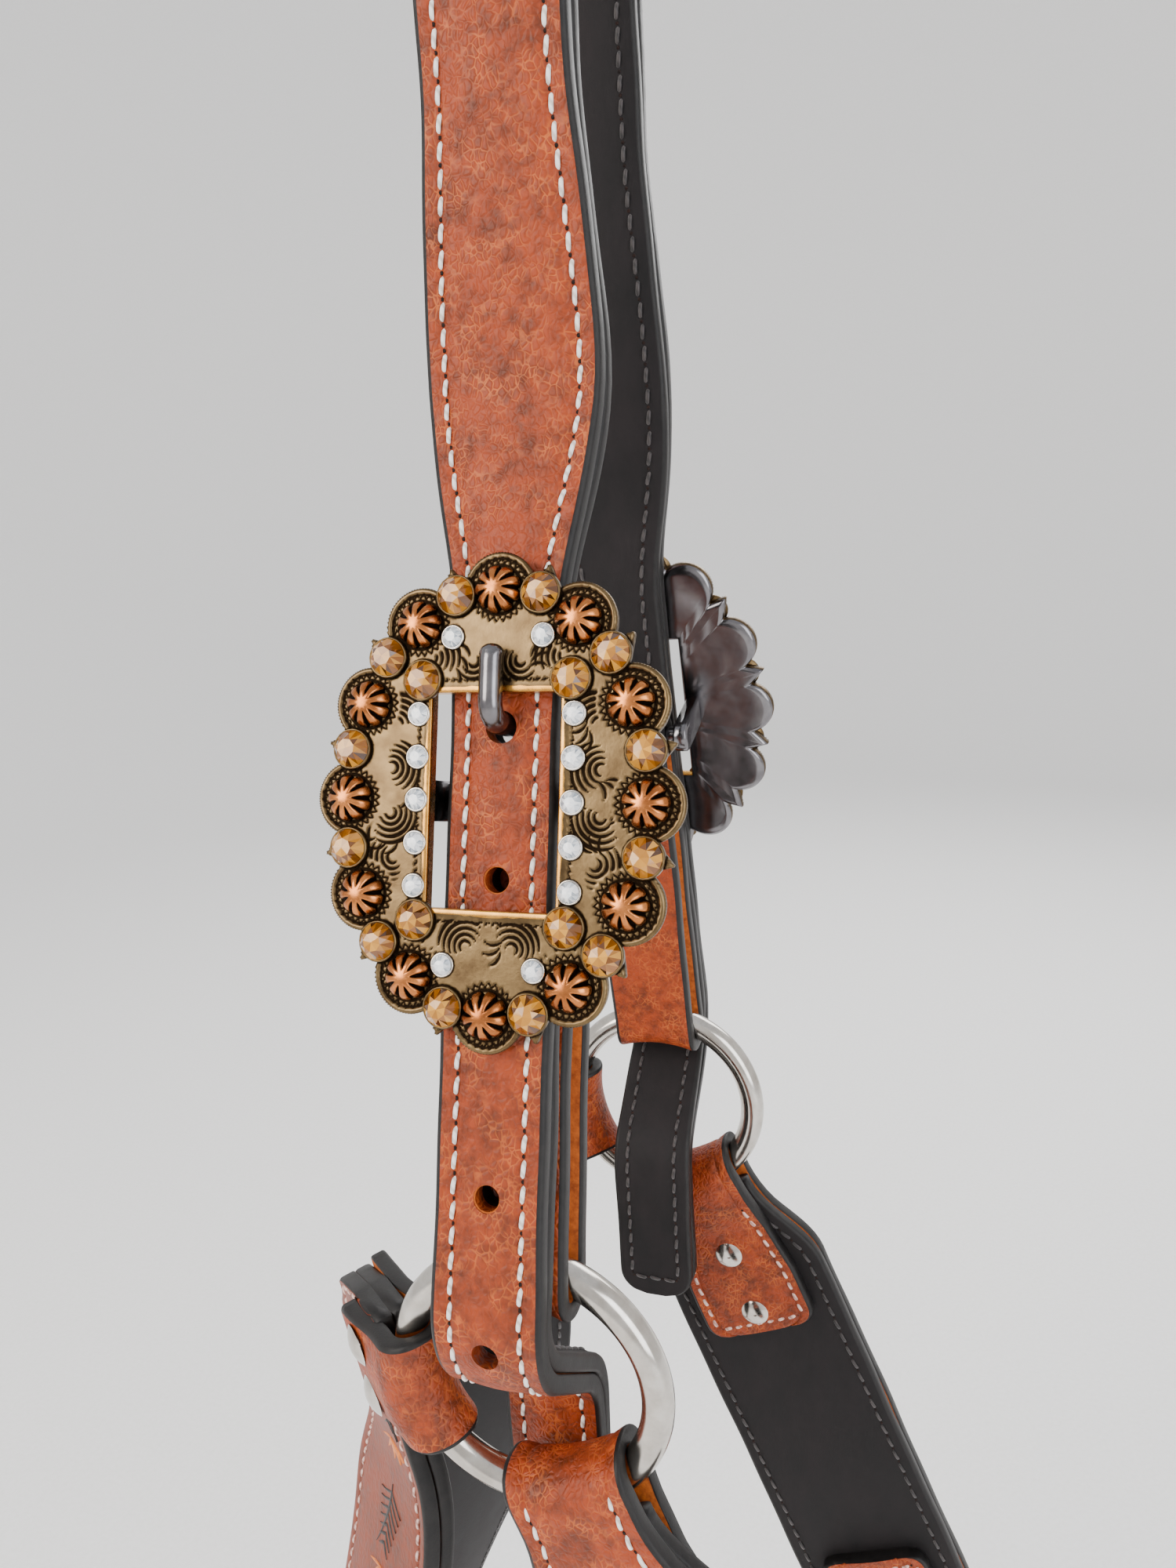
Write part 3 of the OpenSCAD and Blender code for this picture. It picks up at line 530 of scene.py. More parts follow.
def dull_leather(name, light, dark, grain_mm, rough, bump, colour_mm=6.0, stretch=(1.0, 1.0, 1.0)):
    """Leather with one dull colour and a fine nap or grain."""
    made, tree, shader = finish_of(name, light, IOR=1.38)
    place = add(tree, "TexCoord").outputs["Object"]
    shape = add(tree, "Mapping", {"Vector": place, "Scale": stretch}).outputs["Vector"]
    patches_node = add(tree, "TexNoise",
                       {"Vector": shape, "Scale": per_mm(colour_mm), "Detail": 6.0, "Roughness": 0.65})
    patches = patches_node.outputs["Fac"]
    colour = add(tree, "ValToRGB", {"Fac": patches}, stops=[(0.34, dark), (0.68, light)]).outputs["Color"]
    tree.links.new(colour, shader.inputs["Base Color"])
    sheen_node = add(tree, "MapRange", {"Value": patches, "To Min": rough - 0.12, "To Max": rough + 0.12})
    sheen = sheen_node.outputs["Result"]
    tree.links.new(sheen, shader.inputs["Roughness"])
    grain_node = add(tree, "TexNoise",
                     {"Vector": shape, "Scale": per_mm(grain_mm), "Detail": 4.0, "Roughness": 0.7})
    grain = grain_node.outputs["Fac"]
    relief = add(tree, "Bump", {"Height": grain, "Strength": bump, "Distance": 0.00016})
    tree.links.new(relief.outputs["Normal"], shader.inputs["Normal"])
    return made


# Edge dye rubbed to a low shine, over fibres that run along the edge
burnished_edge = dull_leather("burnished_edge_dye", "#1F1C1B", "#0E0C0C", 0.5, 0.5, 0.35, 3.0)
# Chap leather glued inside: near black, soft, with a slight plum cast
lining_leather = dull_leather("black_chap_lining", "#1D1819", "#0F0C0D", 0.8, 0.72, 0.4, 7.0, (1.0, 1.0, 0.5))
# The raw inner side of the hide: tan fibres
flesh_side = dull_leather("raw_flesh_side", "#CF6C24", "#8C4218", 0.7, 0.85, 0.8, 1.6)
# Painted shade: a dark disc stands for the shadow inside each awl hole
painted_awl_hole_shade = dull_leather("awl_hole_shadow", "#2A1711", "#140B08", 0.4, 0.9, 0.2, 2.0)


def thread_of(name, light, dark):
    """Bonded nylon thread: three plies laid round one another, slightly glossy, the grooves between plies
    painted darker as shade.
    """
    made, tree, shader = finish_of(name, light, IOR=1.5, Sheen_Weight=0.25)
    place = add(tree, "TexCoord").outputs["Object"]
    # Plies of a 0.8 mm thread cross it every 0.6 mm; the same bands raise the plies and paint the grooves
    # between them darker as shade
    wave = {"Vector": place, "Scale": per_mm(0.6) / 6.3, "Distortion": 1.2, "Detail": 1.0}
    ply_relief_and_groove_shade = add(tree, "TexWave", wave, wave_type="BANDS", bands_direction="DIAGONAL").outputs["Fac"]
    # Painted shade: the dark colour fills the grooves between plies, the light one their tops
    colour = add(tree, "ValToRGB", {"Fac": ply_relief_and_groove_shade}, stops=[(0.0, dark), (0.55, light)]).outputs["Color"]
    tree.links.new(colour, shader.inputs["Base Color"])
    soil = add(tree, "TexNoise", {"Vector": place, "Scale": per_mm(1.5)}).outputs["Fac"]
    rough = add(tree, "MapRange", {"Value": soil, "To Min": 0.4, "To Max": 0.66}).outputs["Result"]
    tree.links.new(rough, shader.inputs["Roughness"])
    relief = add(tree, "Bump", {"Height": ply_relief_and_groove_shade, "Strength": 0.35, "Distance": 0.00012})
    tree.links.new(relief.outputs["Normal"], shader.inputs["Normal"])
    return made


white_thread = thread_of("white_bonded_thread", "#F6F1EA", "#C9BEB2")
faded_thread = thread_of("waxed_thread_stained_by_dye", "#E6BFB2", "#B07F70")
black_thread = thread_of("black_bonded_thread", "#37302F", "#1C1817")


def metal(name, bright, worn, rough, spread, scratch_mm, bump,
          hollow=None, hollow_to=1.0, stretch=(1, 1, 1), shine=1.0):
    """Plated cast metal. Hollows marked on the mesh keep their dark antiquing."""
    made, tree, shader = finish_of(name, bright, Metallic=shine)
    place = add(tree, "TexCoord").outputs["Object"]
    shape = add(tree, "Mapping", {"Vector": place, "Scale": stretch}).outputs["Vector"]
    wear_node = add(tree, "TexNoise", {"Vector": place, "Scale": per_mm(4), "Detail": 5.0, "Roughness": 0.6})
    wear = wear_node.outputs["Fac"]
    colour = add(tree, "ValToRGB", {"Fac": wear}, stops=[(0.3, worn), (0.64, bright)]).outputs["Color"]
    marks_node = add(tree, "TexNoise", {"Vector": shape, "Scale": per_mm(scratch_mm), "Detail": 3.0})
    marks = marks_node.outputs["Fac"]
    roughness_node = add(tree, "MapRange",
                         {"Value": marks, "To Min": rough - spread, "To Max": rough + spread})
    roughness = roughness_node.outputs["Result"]
    if hollow:
        depth = add(tree, "Attribute", attribute_name="hollow").outputs["Fac"]
        dirt = add(tree, "TexNoise", {"Vector": place, "Scale": per_mm(0.7), "Detail": 3.0}).outputs["Fac"]
        wide = add(tree, "Math", {0: dirt, 1: 0.5, 2: depth}, operation="MULTIPLY_ADD").outputs[0]
        share = add(tree, "MapRange", {"Value": wide, "From Min": 0.3, "From Max": 0.75, "To Max": hollow_to},
                    interpolation_type="SMOOTHSTEP").outputs["Result"]
        colour_node = add(tree, "MixRGB", {"Fac": share, "Color1": colour, "Color2": linear(hollow)})
        colour = colour_node.outputs["Color"]
        roughness_node = add(tree, "MixRGB",
                             {"Fac": share, "Color1": roughness, "Color2": (0.7, 0.7, 0.7, 1)})
        roughness = roughness_node.outputs["Color"]
    tree.links.new(colour, shader.inputs["Base Color"])
    tree.links.new(roughness, shader.inputs["Roughness"])
    relief = add(tree, "Bump", {"Height": marks, "Strength": bump, "Distance": 0.00006})
    tree.links.new(relief.outputs["Normal"], shader.inputs["Normal"])
    return made


# Cast zinc, plated bronze and rubbed back: warm grey high spots, umber recesses
antique_plate = metal("antiqued_bronze_plated_zinc", "#786344", "#54432E", 0.34, 0.08, 0.5, 0.3, "#241A11")
# The same casting's window edge, polished to its brass colour
gold_edge = metal("polished_brass_edge", "#D9A14E", "#A87434", 0.28, 0.06, 0.5, 0.15)
# Copper-flashed berries with dark flutes
copper_berry = metal("copper_flashed_berries", "#D08348", "#93532C", 0.26, 0.06, 0.8, 0.12, "#170D08")
# Back of the buckle and its bars: dark nickel over the casting
gunmetal = metal("dark_nickel_plate", "#7C7A7C", "#666366", 0.2, 0.04, 1.6, 0.06)
# Rings, screws and snap: bright nickel over brass, drawn wire
bright_nickel = metal("bright_nickel_plate", "#CDC8C1", "#B2ABA2", 0.17, 0.05, 1.2, 0.06)
# Spring steel bolt and small pins, satin
satin_nickel = metal("satin_nickel_plate", "#C2BDB6", "#A8A299", 0.3, 0.06, 0.4, 0.2, stretch=(1, 1, 6))


def stone(name, dark, mid, light, clear):
    """Foil-backed cut glass: each facet gets its own tone, painted from dark to light in place of the
    reflections it would throw back.
    """
    made, tree, shader = finish_of(name, mid, Roughness=0.04, IOR=1.56, Transmission_Weight=clear,
                                   Coat_Weight=0.25, Coat_Roughness=0.03)
    # Painted reflections: each facet's stored tone picks its colour from dark to light
    tone = add(tree, "Attribute", attribute_name="tone").outputs["Fac"]
    colour_node = add(tree, "ValToRGB", {"Fac": tone},
                      stops=[(0.0, dark), (0.45, mid), (0.95, light)])
    colour = colour_node.outputs["Color"]
    tree.links.new(colour, shader.inputs["Base Color"])
    return made


# Topaz-coloured pressed glass: its amber colour is real, its facets run from dark to bright as painted
# reflections
amber_glass = stone("amber_cut_glass", "#3F1F06", "#93560F", "#E2A138", 0.1)
# Clear lead glass over silver foil, its facets painted grey to white as reflections
clear_glass = stone("clear_cut_glass", "#8F9AA4", "#E6EBEF", "#FFFFFF", 0.0)


def paint(name, light, dark):
    """Acrylic leather paint, brushed thin."""
    made, tree, shader = finish_of(name, light, IOR=1.48)
    place = add(tree, "TexCoord").outputs["Object"]
    streak_node = add(tree, "TexNoise",
                      {"Vector": place, "Scale": per_mm(1.3), "Detail": 4.0, "Roughness": 0.7})
    streak = streak_node.outputs["Fac"]
    colour = add(tree, "ValToRGB", {"Fac": streak}, stops=[(0.35, dark), (0.65, light)]).outputs["Color"]
    tree.links.new(colour, shader.inputs["Base Color"])
    rough = add(tree, "MapRange", {"Value": streak, "To Min": 0.35, "To Max": 0.6}).outputs["Result"]
    tree.links.new(rough, shader.inputs["Roughness"])
    relief = add(tree, "Bump", {"Height": streak, "Strength": 0.3, "Distance": 0.0001})
    tree.links.new(relief.outputs["Normal"], shader.inputs["Normal"])
    return made


black_paint = paint("black_leather_paint", "#2B201D", "#140F0E")
orange_paint = paint("orange_leather_paint", "#E8862C", "#C2601C")


# ---- wither strap -----------------------------------------------------------
# Finishes of a strip's face, edge and back
STRAP_FINISHES = [strap_leather, burnished_edge, flesh_side]
LINING_FINISHES = [lining_leather, burnished_edge, lining_leather]
LINING_ROUND = 0.9

ring_side = -shoulder_centre[1]
ring_drop = -buckle_drop - shoulder_centre[2]
buckle_side = -buckle_at[1]
lean_down = bend_r * sin(leg_lean)
to_buckle = (75.0 - lean_down) / cos(leg_lean)
tail_turn = 50.0
tail_in_r = 14.0
tail_back_r = 12.0
tail_cross_z = 2.4
tail_inside = 8.0
tail_len = 34.0
tail_arc_y = tail_in_r * (cos(leg_lean) - cos(tail_turn))
tail_arc_z = tail_in_r * (sin(leg_lean) + sin(tail_turn))
tail_drop = ring_drop - tail_cross_z - tail_arc_z
tail_target = tail_drop - (buckle_side - ring_side - tail_arc_y) / math.tan(math.radians(tail_turn))
billet_len = tail_target / (cos(leg_lean) + sin(leg_lean) / math.tan(math.radians(tail_turn)))
tail_start_y = buckle_side + billet_len * sin(leg_lean) - tail_arc_y
tail_cross_len = (tail_start_y - ring_side + tail_inside) / sin(tail_turn)
tip_r = 6.0

leg_path = walk((0, lining_t), -90, [
    (rest_r + lining_t, 90), (150.0 - rest_r, 0), (bend_r, -leg_lean), (to_buckle + billet_len, 0),
    (tail_in_r, leg_lean + tail_turn), (tail_cross_len, 0), (tail_back_r, -tail_turn),
    (tail_len - tip_r, 0)] + [(0.75, 0)] * 8)
strap_end_z = leg_path[-1][1]


def strap_half(z):
    up = z + buckle_drop
    if up >= swell_up:
        return (swell_w + (strap_w - swell_w) * ease((up - swell_up) / 50)) / 2
    half = (swell_w + (billet_w - swell_w) * ease((swell_up - up) / 43)) / 2
    left = z - strap_end_z
    if left < tip_r:
        half += math.sqrt(max(0.0, tip_r**2 - (tip_r - left) ** 2)) - tip_r
    return half


row_frame = Place((0, 0, 0), np.eye(3))
leg = path_band(leg_path, row_frame, lambda k: strap_half(leg_path[k][1]))
flip_y = np.array([1, -1, 1])
strap_band = Band(np.concatenate([leg.p[::-1], leg.p[1:] * flip_y]),
                  np.concatenate([leg.a[::-1], leg.a[1:]]),
                  np.concatenate([leg.o[::-1], leg.o[1:] * flip_y]),
                  np.concatenate([leg.w[::-1], leg.w[1:]]))

strap_face = leather("wither_strap_face", strap_band, 0, face_t, STRAP_FINISHES,
                     groove=True, crown=0.45, low_round=0.5)
strap_back = leather("wither_strap_lining", strap_band, -lining_t, 0, LINING_FINISHES, low_round=LINING_ROUND)


def peg(place, across, up, radius, reach, bm):
    """A round cutter through a strap, at a point of a place."""
    ring = [(radius * cos(a), radius * sin(a)) for a in range(0, 360, 15)]
    low = [bm.verts.new(place(across + x, -reach, up + z) * MM) for x, z in ring]
    high = [bm.verts.new(place(across + x, reach, up + z) * MM) for x, z in ring]
    bm.faces.new(low)
    bm.faces.new(high[::-1])
    for k in range(len(ring)):
        j = (k + 1) % len(ring)
        bm.faces.new((low[j], low[k], high[k], high[j]))


def cut(piece, bm):
    """Takes the cutters in bm out of a piece."""
    bmesh.ops.recalc_face_normals(bm, faces=bm.faces)
    mesh = bpy.data.meshes.new("cutter")
    bm.to_mesh(mesh)
    cutter = bpy.data.objects.new("cutter", mesh)
    bpy.context.scene.collection.objects.link(cutter)
    change = piece.modifiers.new("holes", "BOOLEAN")
    change.operation = "DIFFERENCE"
    change.solver = "EXACT"
    change.object = cutter
    bpy.context.view_layer.update()
    done = piece.evaluated_get(bpy.context.evaluated_depsgraph_get())
    piece.data = bpy.data.meshes.new_from_object(done)
    piece.modifiers.clear()
    piece.data.set_sharp_from_angle(angle=math.radians(48))
    bpy.data.objects.remove(cutter)


at_buckle_right = Place(at_buckle.origin * flip_y, at_buckle.axes * flip_y[:, None])
hole_ups = [tongue_up - k * hole_pitch for k in range(1, 5)]
for ply in (strap_face, strap_back):
    pegs = bmesh.new()
    for place in (at_buckle, at_buckle_right):
        for up in hole_ups:
            peg(place, 0, up, 2.3, 12, pegs)
        peg(place, 0, tongue_up - 0.6, 2.7, 12, pegs)
    cut(ply, pegs)
    pegs.free()
settle(strap_face, "wither_strap", "brown_leather", "wither_face")
settle(strap_back, "wither_strap", "black_leather", "wither_lining")


def ring_of(place, across, up, lift, radius, tube, squash, around=28, section=10):
    """Points and quads of a low torus that lies on a surface."""
    rows = []
    for k in range(around):
        a = 2 * math.pi * k / around
        for j in range(section):
            b = 2 * math.pi * j / section
            r = radius + tube * math.cos(b)
            out = lift + squash * tube * math.sin(b)
            rows.append(place(across + r * math.cos(a), -out, up + r * math.sin(a)))
    return np.array(rows), grid_faces(around, section, closed_rows=True)


def joined(parts):
    """Several (points, quads) as one."""
    verts, faces, base = [], [], 0
    for v, f in parts:
        verts.append(np.asarray(v))
        faces += [[i + base for i in face] for face in np.asarray(f, dtype=object).tolist()]
        base += len(v)
    return np.concatenate(verts), faces


# Stretched, paler leather round each hole of the billet
def billet_lift(up):
    """How far the billet's face stands out of the buckle's plane at a height."""
    spot = leg.p + leg.o * face_t
    local = (spot - at_buckle.origin) @ at_buckle.axes
    below = local[:, 2] < 40
    return float(np.interp(-up, -local[below, 2], -local[below, 1]))


rims = [ring_of(at_buckle, 0, up, billet_lift(up) - 0.02, 2.7, 0.62, 0.4) for up in hole_ups[:3]]
verts, faces = joined(rims)
pair(solid("hole_rims_left", verts, faces, [flesh_side]), "wither_strap", "brown_leather")

SEAM = 3.5
groove_lift = face_t - 0.2
low_s, high_s = 5.0, strap_band.length - 5.0
lines = [edge_line(strap_band, low_s, high_s, SEAM, groove_lift, side) for side in (-1, 1)]
tail_reach = 5.6
lines += [cross_line(strap_band, s, tail_reach, groove_lift + 0.1) for s in (low_s, high_s)]
settle(stitches("wither_stitching", lines, white_thread), "wither_strap")
back_lines = [edge_line(strap_band, low_s, high_s, SEAM, -lining_t, side, facing=-1) for side in (-1, 1)]
back_lines += [cross_line(strap_band, s, tail_reach, -lining_t, facing=-1) for s in (low_s, high_s)]
settle(stitches("wither_back_stitching", back_lines, black_thread, high=0.2), "wither_strap")


# ---- folds round a ring's wire ---------------------------------------------
TURN_POINTS = 25


def belt_band(place, r0, r1, length, half):
    """A closed band round two rollers, the lower one of radius r1 at the place's origin."""
    tilt = math.degrees(math.asin((r1 - r0) / length))
    head = [(r0 * cos(a), length + r0 * sin(a), a) for a in np.linspace(-tilt, 180 + tilt, TURN_POINTS)]
    foot = [(r1 * cos(a), r1 * sin(a), a) for a in np.linspace(180 + tilt, 360 - tilt, TURN_POINTS)]
    count = max(2, round(length / 2.5))

    def leg_between(first, last, way):
        shares = [k / count for k in range(1, count)]
        return [(first[0] * (1 - t) + last[0] * t, first[1] * (1 - t) + last[1] * t, way) for t in shares]

    spots = head + leg_between(head[-1], foot[0], 180 + tilt)
    spots += foot + leg_between(foot[-1], head[0], 360 - tilt)
    points = [place(0, u, v) for u, v, a in spots]
    out = [place.way(0, cos(a), sin(a)) for u, v, a in spots]
    return Band(points, [place.way(1, 0, 0)] * len(spots), out, [half] * len(spots), closed=True)


def saddle(piece, place, toward, full=3.0, gone=15.0):
    """Lets a fold follow the curve of the ring's wire inside it, fading away along the strap."""
    co = np.array([v.co for v in piece.data.vertices], float) / MM
    local = (co - place.origin) @ place.axes
    bow = ring_r - np.sqrt(np.clip(ring_r**2 - local[:, 0] ** 2, 1, None))
    far = np.clip((np.abs(local[:, 2]) - full) / (gone - full), 0, 1)
    share = (1 + np.cos(np.pi * far)) / 2
    co += np.outer(bow * share, toward)
    piece.data.vertices.foreach_set("co", (co * MM).astype(np.float32).ravel())
    piece.data.update()
    return piece


def cut_box(piece, place, up, size):
    """Cuts a slot of a size in mm, centred on a place's upward line."""
    box = bmesh.new()
    scale = Matrix.Diagonal([side * MM for side in size] + [1])
    matrix = Matrix.Translation(place(0, 0, up) * MM) @ Matrix(place.axes.tolist()).to_4x4() @ scale
    bmesh.ops.create_cube(box, size=1, matrix=matrix)
    cut(piece, box)
    box.free()


tab_top_in = heel_d / 2 + heel_gap
tab_band = belt_band(at_tab, tab_top_in + face_t / 2, loop_mid, tab_len, tab_w / 2)
tab = leather("ring_tab_left", tab_band, -face_t / 2, face_t / 2, STRAP_FINISHES, low_round=0.6)
saddle(tab, at_tab, at_tab.way(0, 0, -1))
cut_box(tab, at_tab, tab_len + 2, (6, 30, 20))
pair(tab, "wither_strap", "brown_leather", "ring_tab_SIDE")


# ---- cart buckle ------------------------------------------------------------
BERRIES = 12
ROWS_IN = 76
ROWS_ROUND = 960


def berry_angle(i):
    return 30 * i + 3 * sin(60 * i)


def on_ring(a, grow=0.0):
    return np.array([(ring_a + grow) * sin(a), (ring_b + grow) * cos(a)])


nub_half = 2.6
berries_at = [on_ring(berry_angle(i)) for i in range(BERRIES)]
between = [(berry_angle(i) + berry_angle(i + 1)) / 2 for i in range(BERRIES)]
amber_at = [on_ring(a, 0.6) for a in between]
nubs_at = [on_ring(a, 4.6) for a in between]
corner_x, corner_y = window_w / 2 + 1.6, window_h / 2 + 2
amber_at += [np.array([x * corner_x, y * corner_y]) for x in (-1, 1) for y in (-1, 1)]
stone_x = window_w / 2 + clear_d / 2 + 0.5
stone_gap = 7.0
end_stone_x = 7.8
end_stone_y = window_h / 2 + 9
clear_at = [np.array([x * stone_x, k * stone_gap]) for x in (-1, 1) for k in range(-2, 3)]
clear_at += [np.array([x * end_stone_x, y * end_stone_y]) for x in (-1, 1) for y in (-1, 1)]


def plate_reach(way):
    """Distance from the buckle's centre to the plate's scalloped edge along a direction."""
    best = 1 / math.sqrt((way[0] / ring_a) ** 2 + (way[1] / ring_b) ** 2)
    for centre in berries_at:
        along = float(centre @ way)
        inside = (lobe_d / 2) ** 2 - (float(centre @ centre) - along**2)
        if inside > 0:
            best = max(best, along + math.sqrt(inside))
    for nub in nubs_at:
        out = nub / np.linalg.norm(nub)
        side = abs(way[0] * out[1] - way[1] * out[0]) / max(1e-6, float(way @ out))
        reach = np.linalg.norm(nub)
        if way @ out > 0 and side * reach < nub_half:
            # A short pointed nub, mostly under its stone
            best = max(best, reach + 0.9 - side * reach * 1.5)
    return best


def window_reach(way):
    half = np.array([window_w / 2, window_h / 2])
    return float(min(half / np.maximum(np.abs(way), 1e-9)))


def crescents():
    """Scroll cuts: [x, y, radius, start, sweep, widest, depth], fanned round volute centres."""
    cuts = []
    half_scrolls = [(4.0, 22.6, 30), (11.6, 23.2, -70), (17.4, 12.4, -120), (18.0, 5.2, -40),
                    (18.0, -2.2, -150), (17.4, -9.6, -60), (4.0, -23.4, 30), (10.6, -23.6, -80)]
    scrolls = [(x * hand, y, 90 + hand * (lean if y > 0 else lean - 180), hand) for hand in (1, -1)
               for x, y, lean in half_scrolls]
    for x, y, start, hand in scrolls:
        for k in range(5):
            r = 0.9 + 0.92 * k
            cuts.append((x, y, r, start + hand * 14 * k, hand * (230 - 26 * k), 0.36 + 0.03 * k, 0.4))
        for k in range(3):
            a = start + 200 + hand * 24 * k
            cuts.append((x + 4.4 * cos(a), y + 4.4 * sin(a), 2.2, a + 90, hand * 90, 0.36, 0.34))
    return cuts


def plate_relief(x, y, edge, inner):
    """Height and hollowness of the plate's face. edge and inner are the distances to its rims."""
    height = np.zeros(len(x))
    hollow = np.zeros(len(x))
    # Raised outer lip, then a sunk track that holds the wriggle cut
    lip = np.exp(-(((edge - 0.5) / 0.35) ** 2))
    height += 0.22 * lip
    track = np.exp(-(((edge - 1.15) / 0.22) ** 2))
    height -= 0.14 * track
    hollow += 0.6 * track
    # Wriggle cut: a zigzag round each berry
    for cx, cy in berries_at:
        dx, dy = x - cx, y - cy
        r, a = np.hypot(dx, dy), np.arctan2(dy, dx)
        zigzag = 4.75 + 0.38 * (2 / np.pi) * np.arcsin(np.sin(a * 26))
        line = np.exp(-(((r - zigzag) / 0.19) ** 2))
        height -= 0.2 * line
        hollow += 0.9 * line
        foot = np.exp(-(((r - berry_d / 2 - 0.05) / 0.3) ** 2))
        hollow += 0.9 * foot
        height -= 0.15 * foot
    for cx, cy in amber_at:
        r = np.hypot(x - cx, y - cy)
        hollow += 0.7 * np.exp(-(((r - amber_d / 2 - 0.25) / 0.35) ** 2))
    for cx, cy in clear_at:
        r = np.hypot(x - cx, y - cy)
        hollow += 0.6 * np.exp(-(((r - clear_d / 2 - 0.2) / 0.28) ** 2))
    # Engraved scrolls stay off the lobes, the stones and the window's edge
    clear_of = np.ones(len(x))
    for cx, cy in berries_at:
        clear_of *= np.clip((np.hypot(x - cx, y - cy) - 5.6) / 0.5, 0, 1)
    for cx, cy in amber_at:
        clear_of *= np.clip((np.hypot(x - cx, y - cy) - amber_d / 2 - 0.3) / 0.4, 0, 1)
    for cx, cy in clear_at:
        clear_of *= np.clip((np.hypot(x - cx, y - cy) - clear_d / 2 - 0.2) / 0.4, 0, 1)
    clear_of *= np.clip((edge - 2.2) / 0.5, 0, 1) * np.clip((inner - 1.5) / 0.4, 0, 1)
    engraved = np.zeros(len(x))
    for cx, cy, r0, start, sweep, wide, depth in crescents():
        dx, dy = x - cx, y - cy
        r, a = np.hypot(dx, dy), np.degrees(np.arctan2(dy, dx))
        t = ((a - start) * np.sign(sweep) % 360) / abs(sweep)
        body = np.where(t < 1, np.sin(np.pi * np.clip(t, 0, 1)) ** 0.7, 0)
        near = np.abs(r - r0 * (1 + 0.12 * t))
        cut_here = np.clip(1 - near / (wide * body + 1e-6), 0, 1) * (body > 0.05)
        engraved = np.maximum(engraved, cut_here * depth / 0.4)
    border = np.abs(inner - 2.0 - 0.22 * (2 / np.pi) * np.arcsin(np.sin((x + y) * 5.2)))
    engraved = np.maximum(engraved, np.exp(-((border / 0.14) ** 2)) * 0.7)
    engraved *= clear_of
    height -= 0.3 * engraved
    hollow += engraved
    height += 0.16 * np.exp(-(((inner - 0.6) / 0.5) ** 2))
    return height, np.clip(hollow, 0, 1)


def buckle_plate():
    """The scalloped, engraved plate, with a plain dished back."""
    angles = np.arange(ROWS_ROUND) * 2 * np.pi / ROWS_ROUND
    ways = np.stack([np.sin(angles), np.cos(angles)], axis=1)
    outer = np.array([plate_reach(w) for w in ways])
    inner = np.array([window_reach(w) for w in ways])
    share = np.concatenate([[0, 0.012, 0.03], np.linspace(0.05, 0.95, ROWS_IN), [0.972, 0.99, 1.0]])
    reach = inner[:, None] + (outer - inner)[:, None] * share[None, :]
    x = (ways[:, :1] * reach).ravel()
    y = (ways[:, 1:] * reach).ravel()
    near_edge = np.full(len(x), 9.0)
    rim = ways * outer[:, None]
    for k in range(0, ROWS_ROUND, 2):
        near_edge = np.minimum(near_edge, np.hypot(x - rim[k, 0], y - rim[k, 1]))
    near_window = np.maximum(np.abs(x) - window_w / 2, np.abs(y) - window_h / 2)
    lift, hollow = plate_relief(x, y, near_edge, near_window)
    fall = np.clip(1 - near_edge / 0.55, 0, 1)
    lift -= 0.5 * fall**2
    columns = len(share)
    top = np.stack([x, -(plate_front + lift), y], axis=1).reshape(ROWS_ROUND, columns, 3)
    hollow = hollow.reshape(ROWS_ROUND, columns)
    rings = [top[:, k] for k in range(columns)]
    marks_hollow = [hollow[:, k] for k in range(columns)]

    def wall(radius, out):
        return np.stack([ways[:, 0] * radius, np.full(ROWS_ROUND, -out), ways[:, 1] * radius], axis=1)

    # Outer wall, dished back and window wall
    outer_wall = [(1.0, plate_front - 1.0), (0.995, plate_back + 0.8)]
    outer_wall += [(0.97, plate_back + 0.15), (0.93, plate_back)]
    for pull, out in outer_wall:
        rings.append(wall(outer * pull, out))
        marks_hollow.append(np.full(ROWS_ROUND, 0.25))
    back = [(0.6, plate_back + 0.5), (0.25, plate_back + 0.3), (0.05, plate_back)]
    window_wall = [(0.0, plate_back + 0.2), (0.0, plate_front - 0.4)]
    for t, out in back + window_wall:
        rings.append(wall(inner + (outer - inner) * t, out))
        marks_hollow.append(np.full(ROWS_ROUND, 0.2))
    total = len(rings)
    verts = np.stack(rings, axis=1).reshape(-1, 3)
    faces = grid_faces(ROWS_ROUND, total, closed_rows=True, closed_columns=True)
    column = np.tile(np.arange(total), ROWS_ROUND)
    # Brass at the window, antiqued face and rim, dark nickel behind
    on_window = (column < 3) | (column >= total - 2)
    marks = np.where(on_window, 1, np.where(column < columns + 1, 0, 2))
    finishes = [antique_plate, gold_edge, gunmetal]
    return solid("buckle_plate_left", at_buckle.many(verts), faces, finishes, marks,
                 fields={"hollow": np.stack(marks_hollow, axis=1).ravel()})


pair(buckle_plate(), "wither_strap", "antique_metal", "buckle_plate_SIDE")


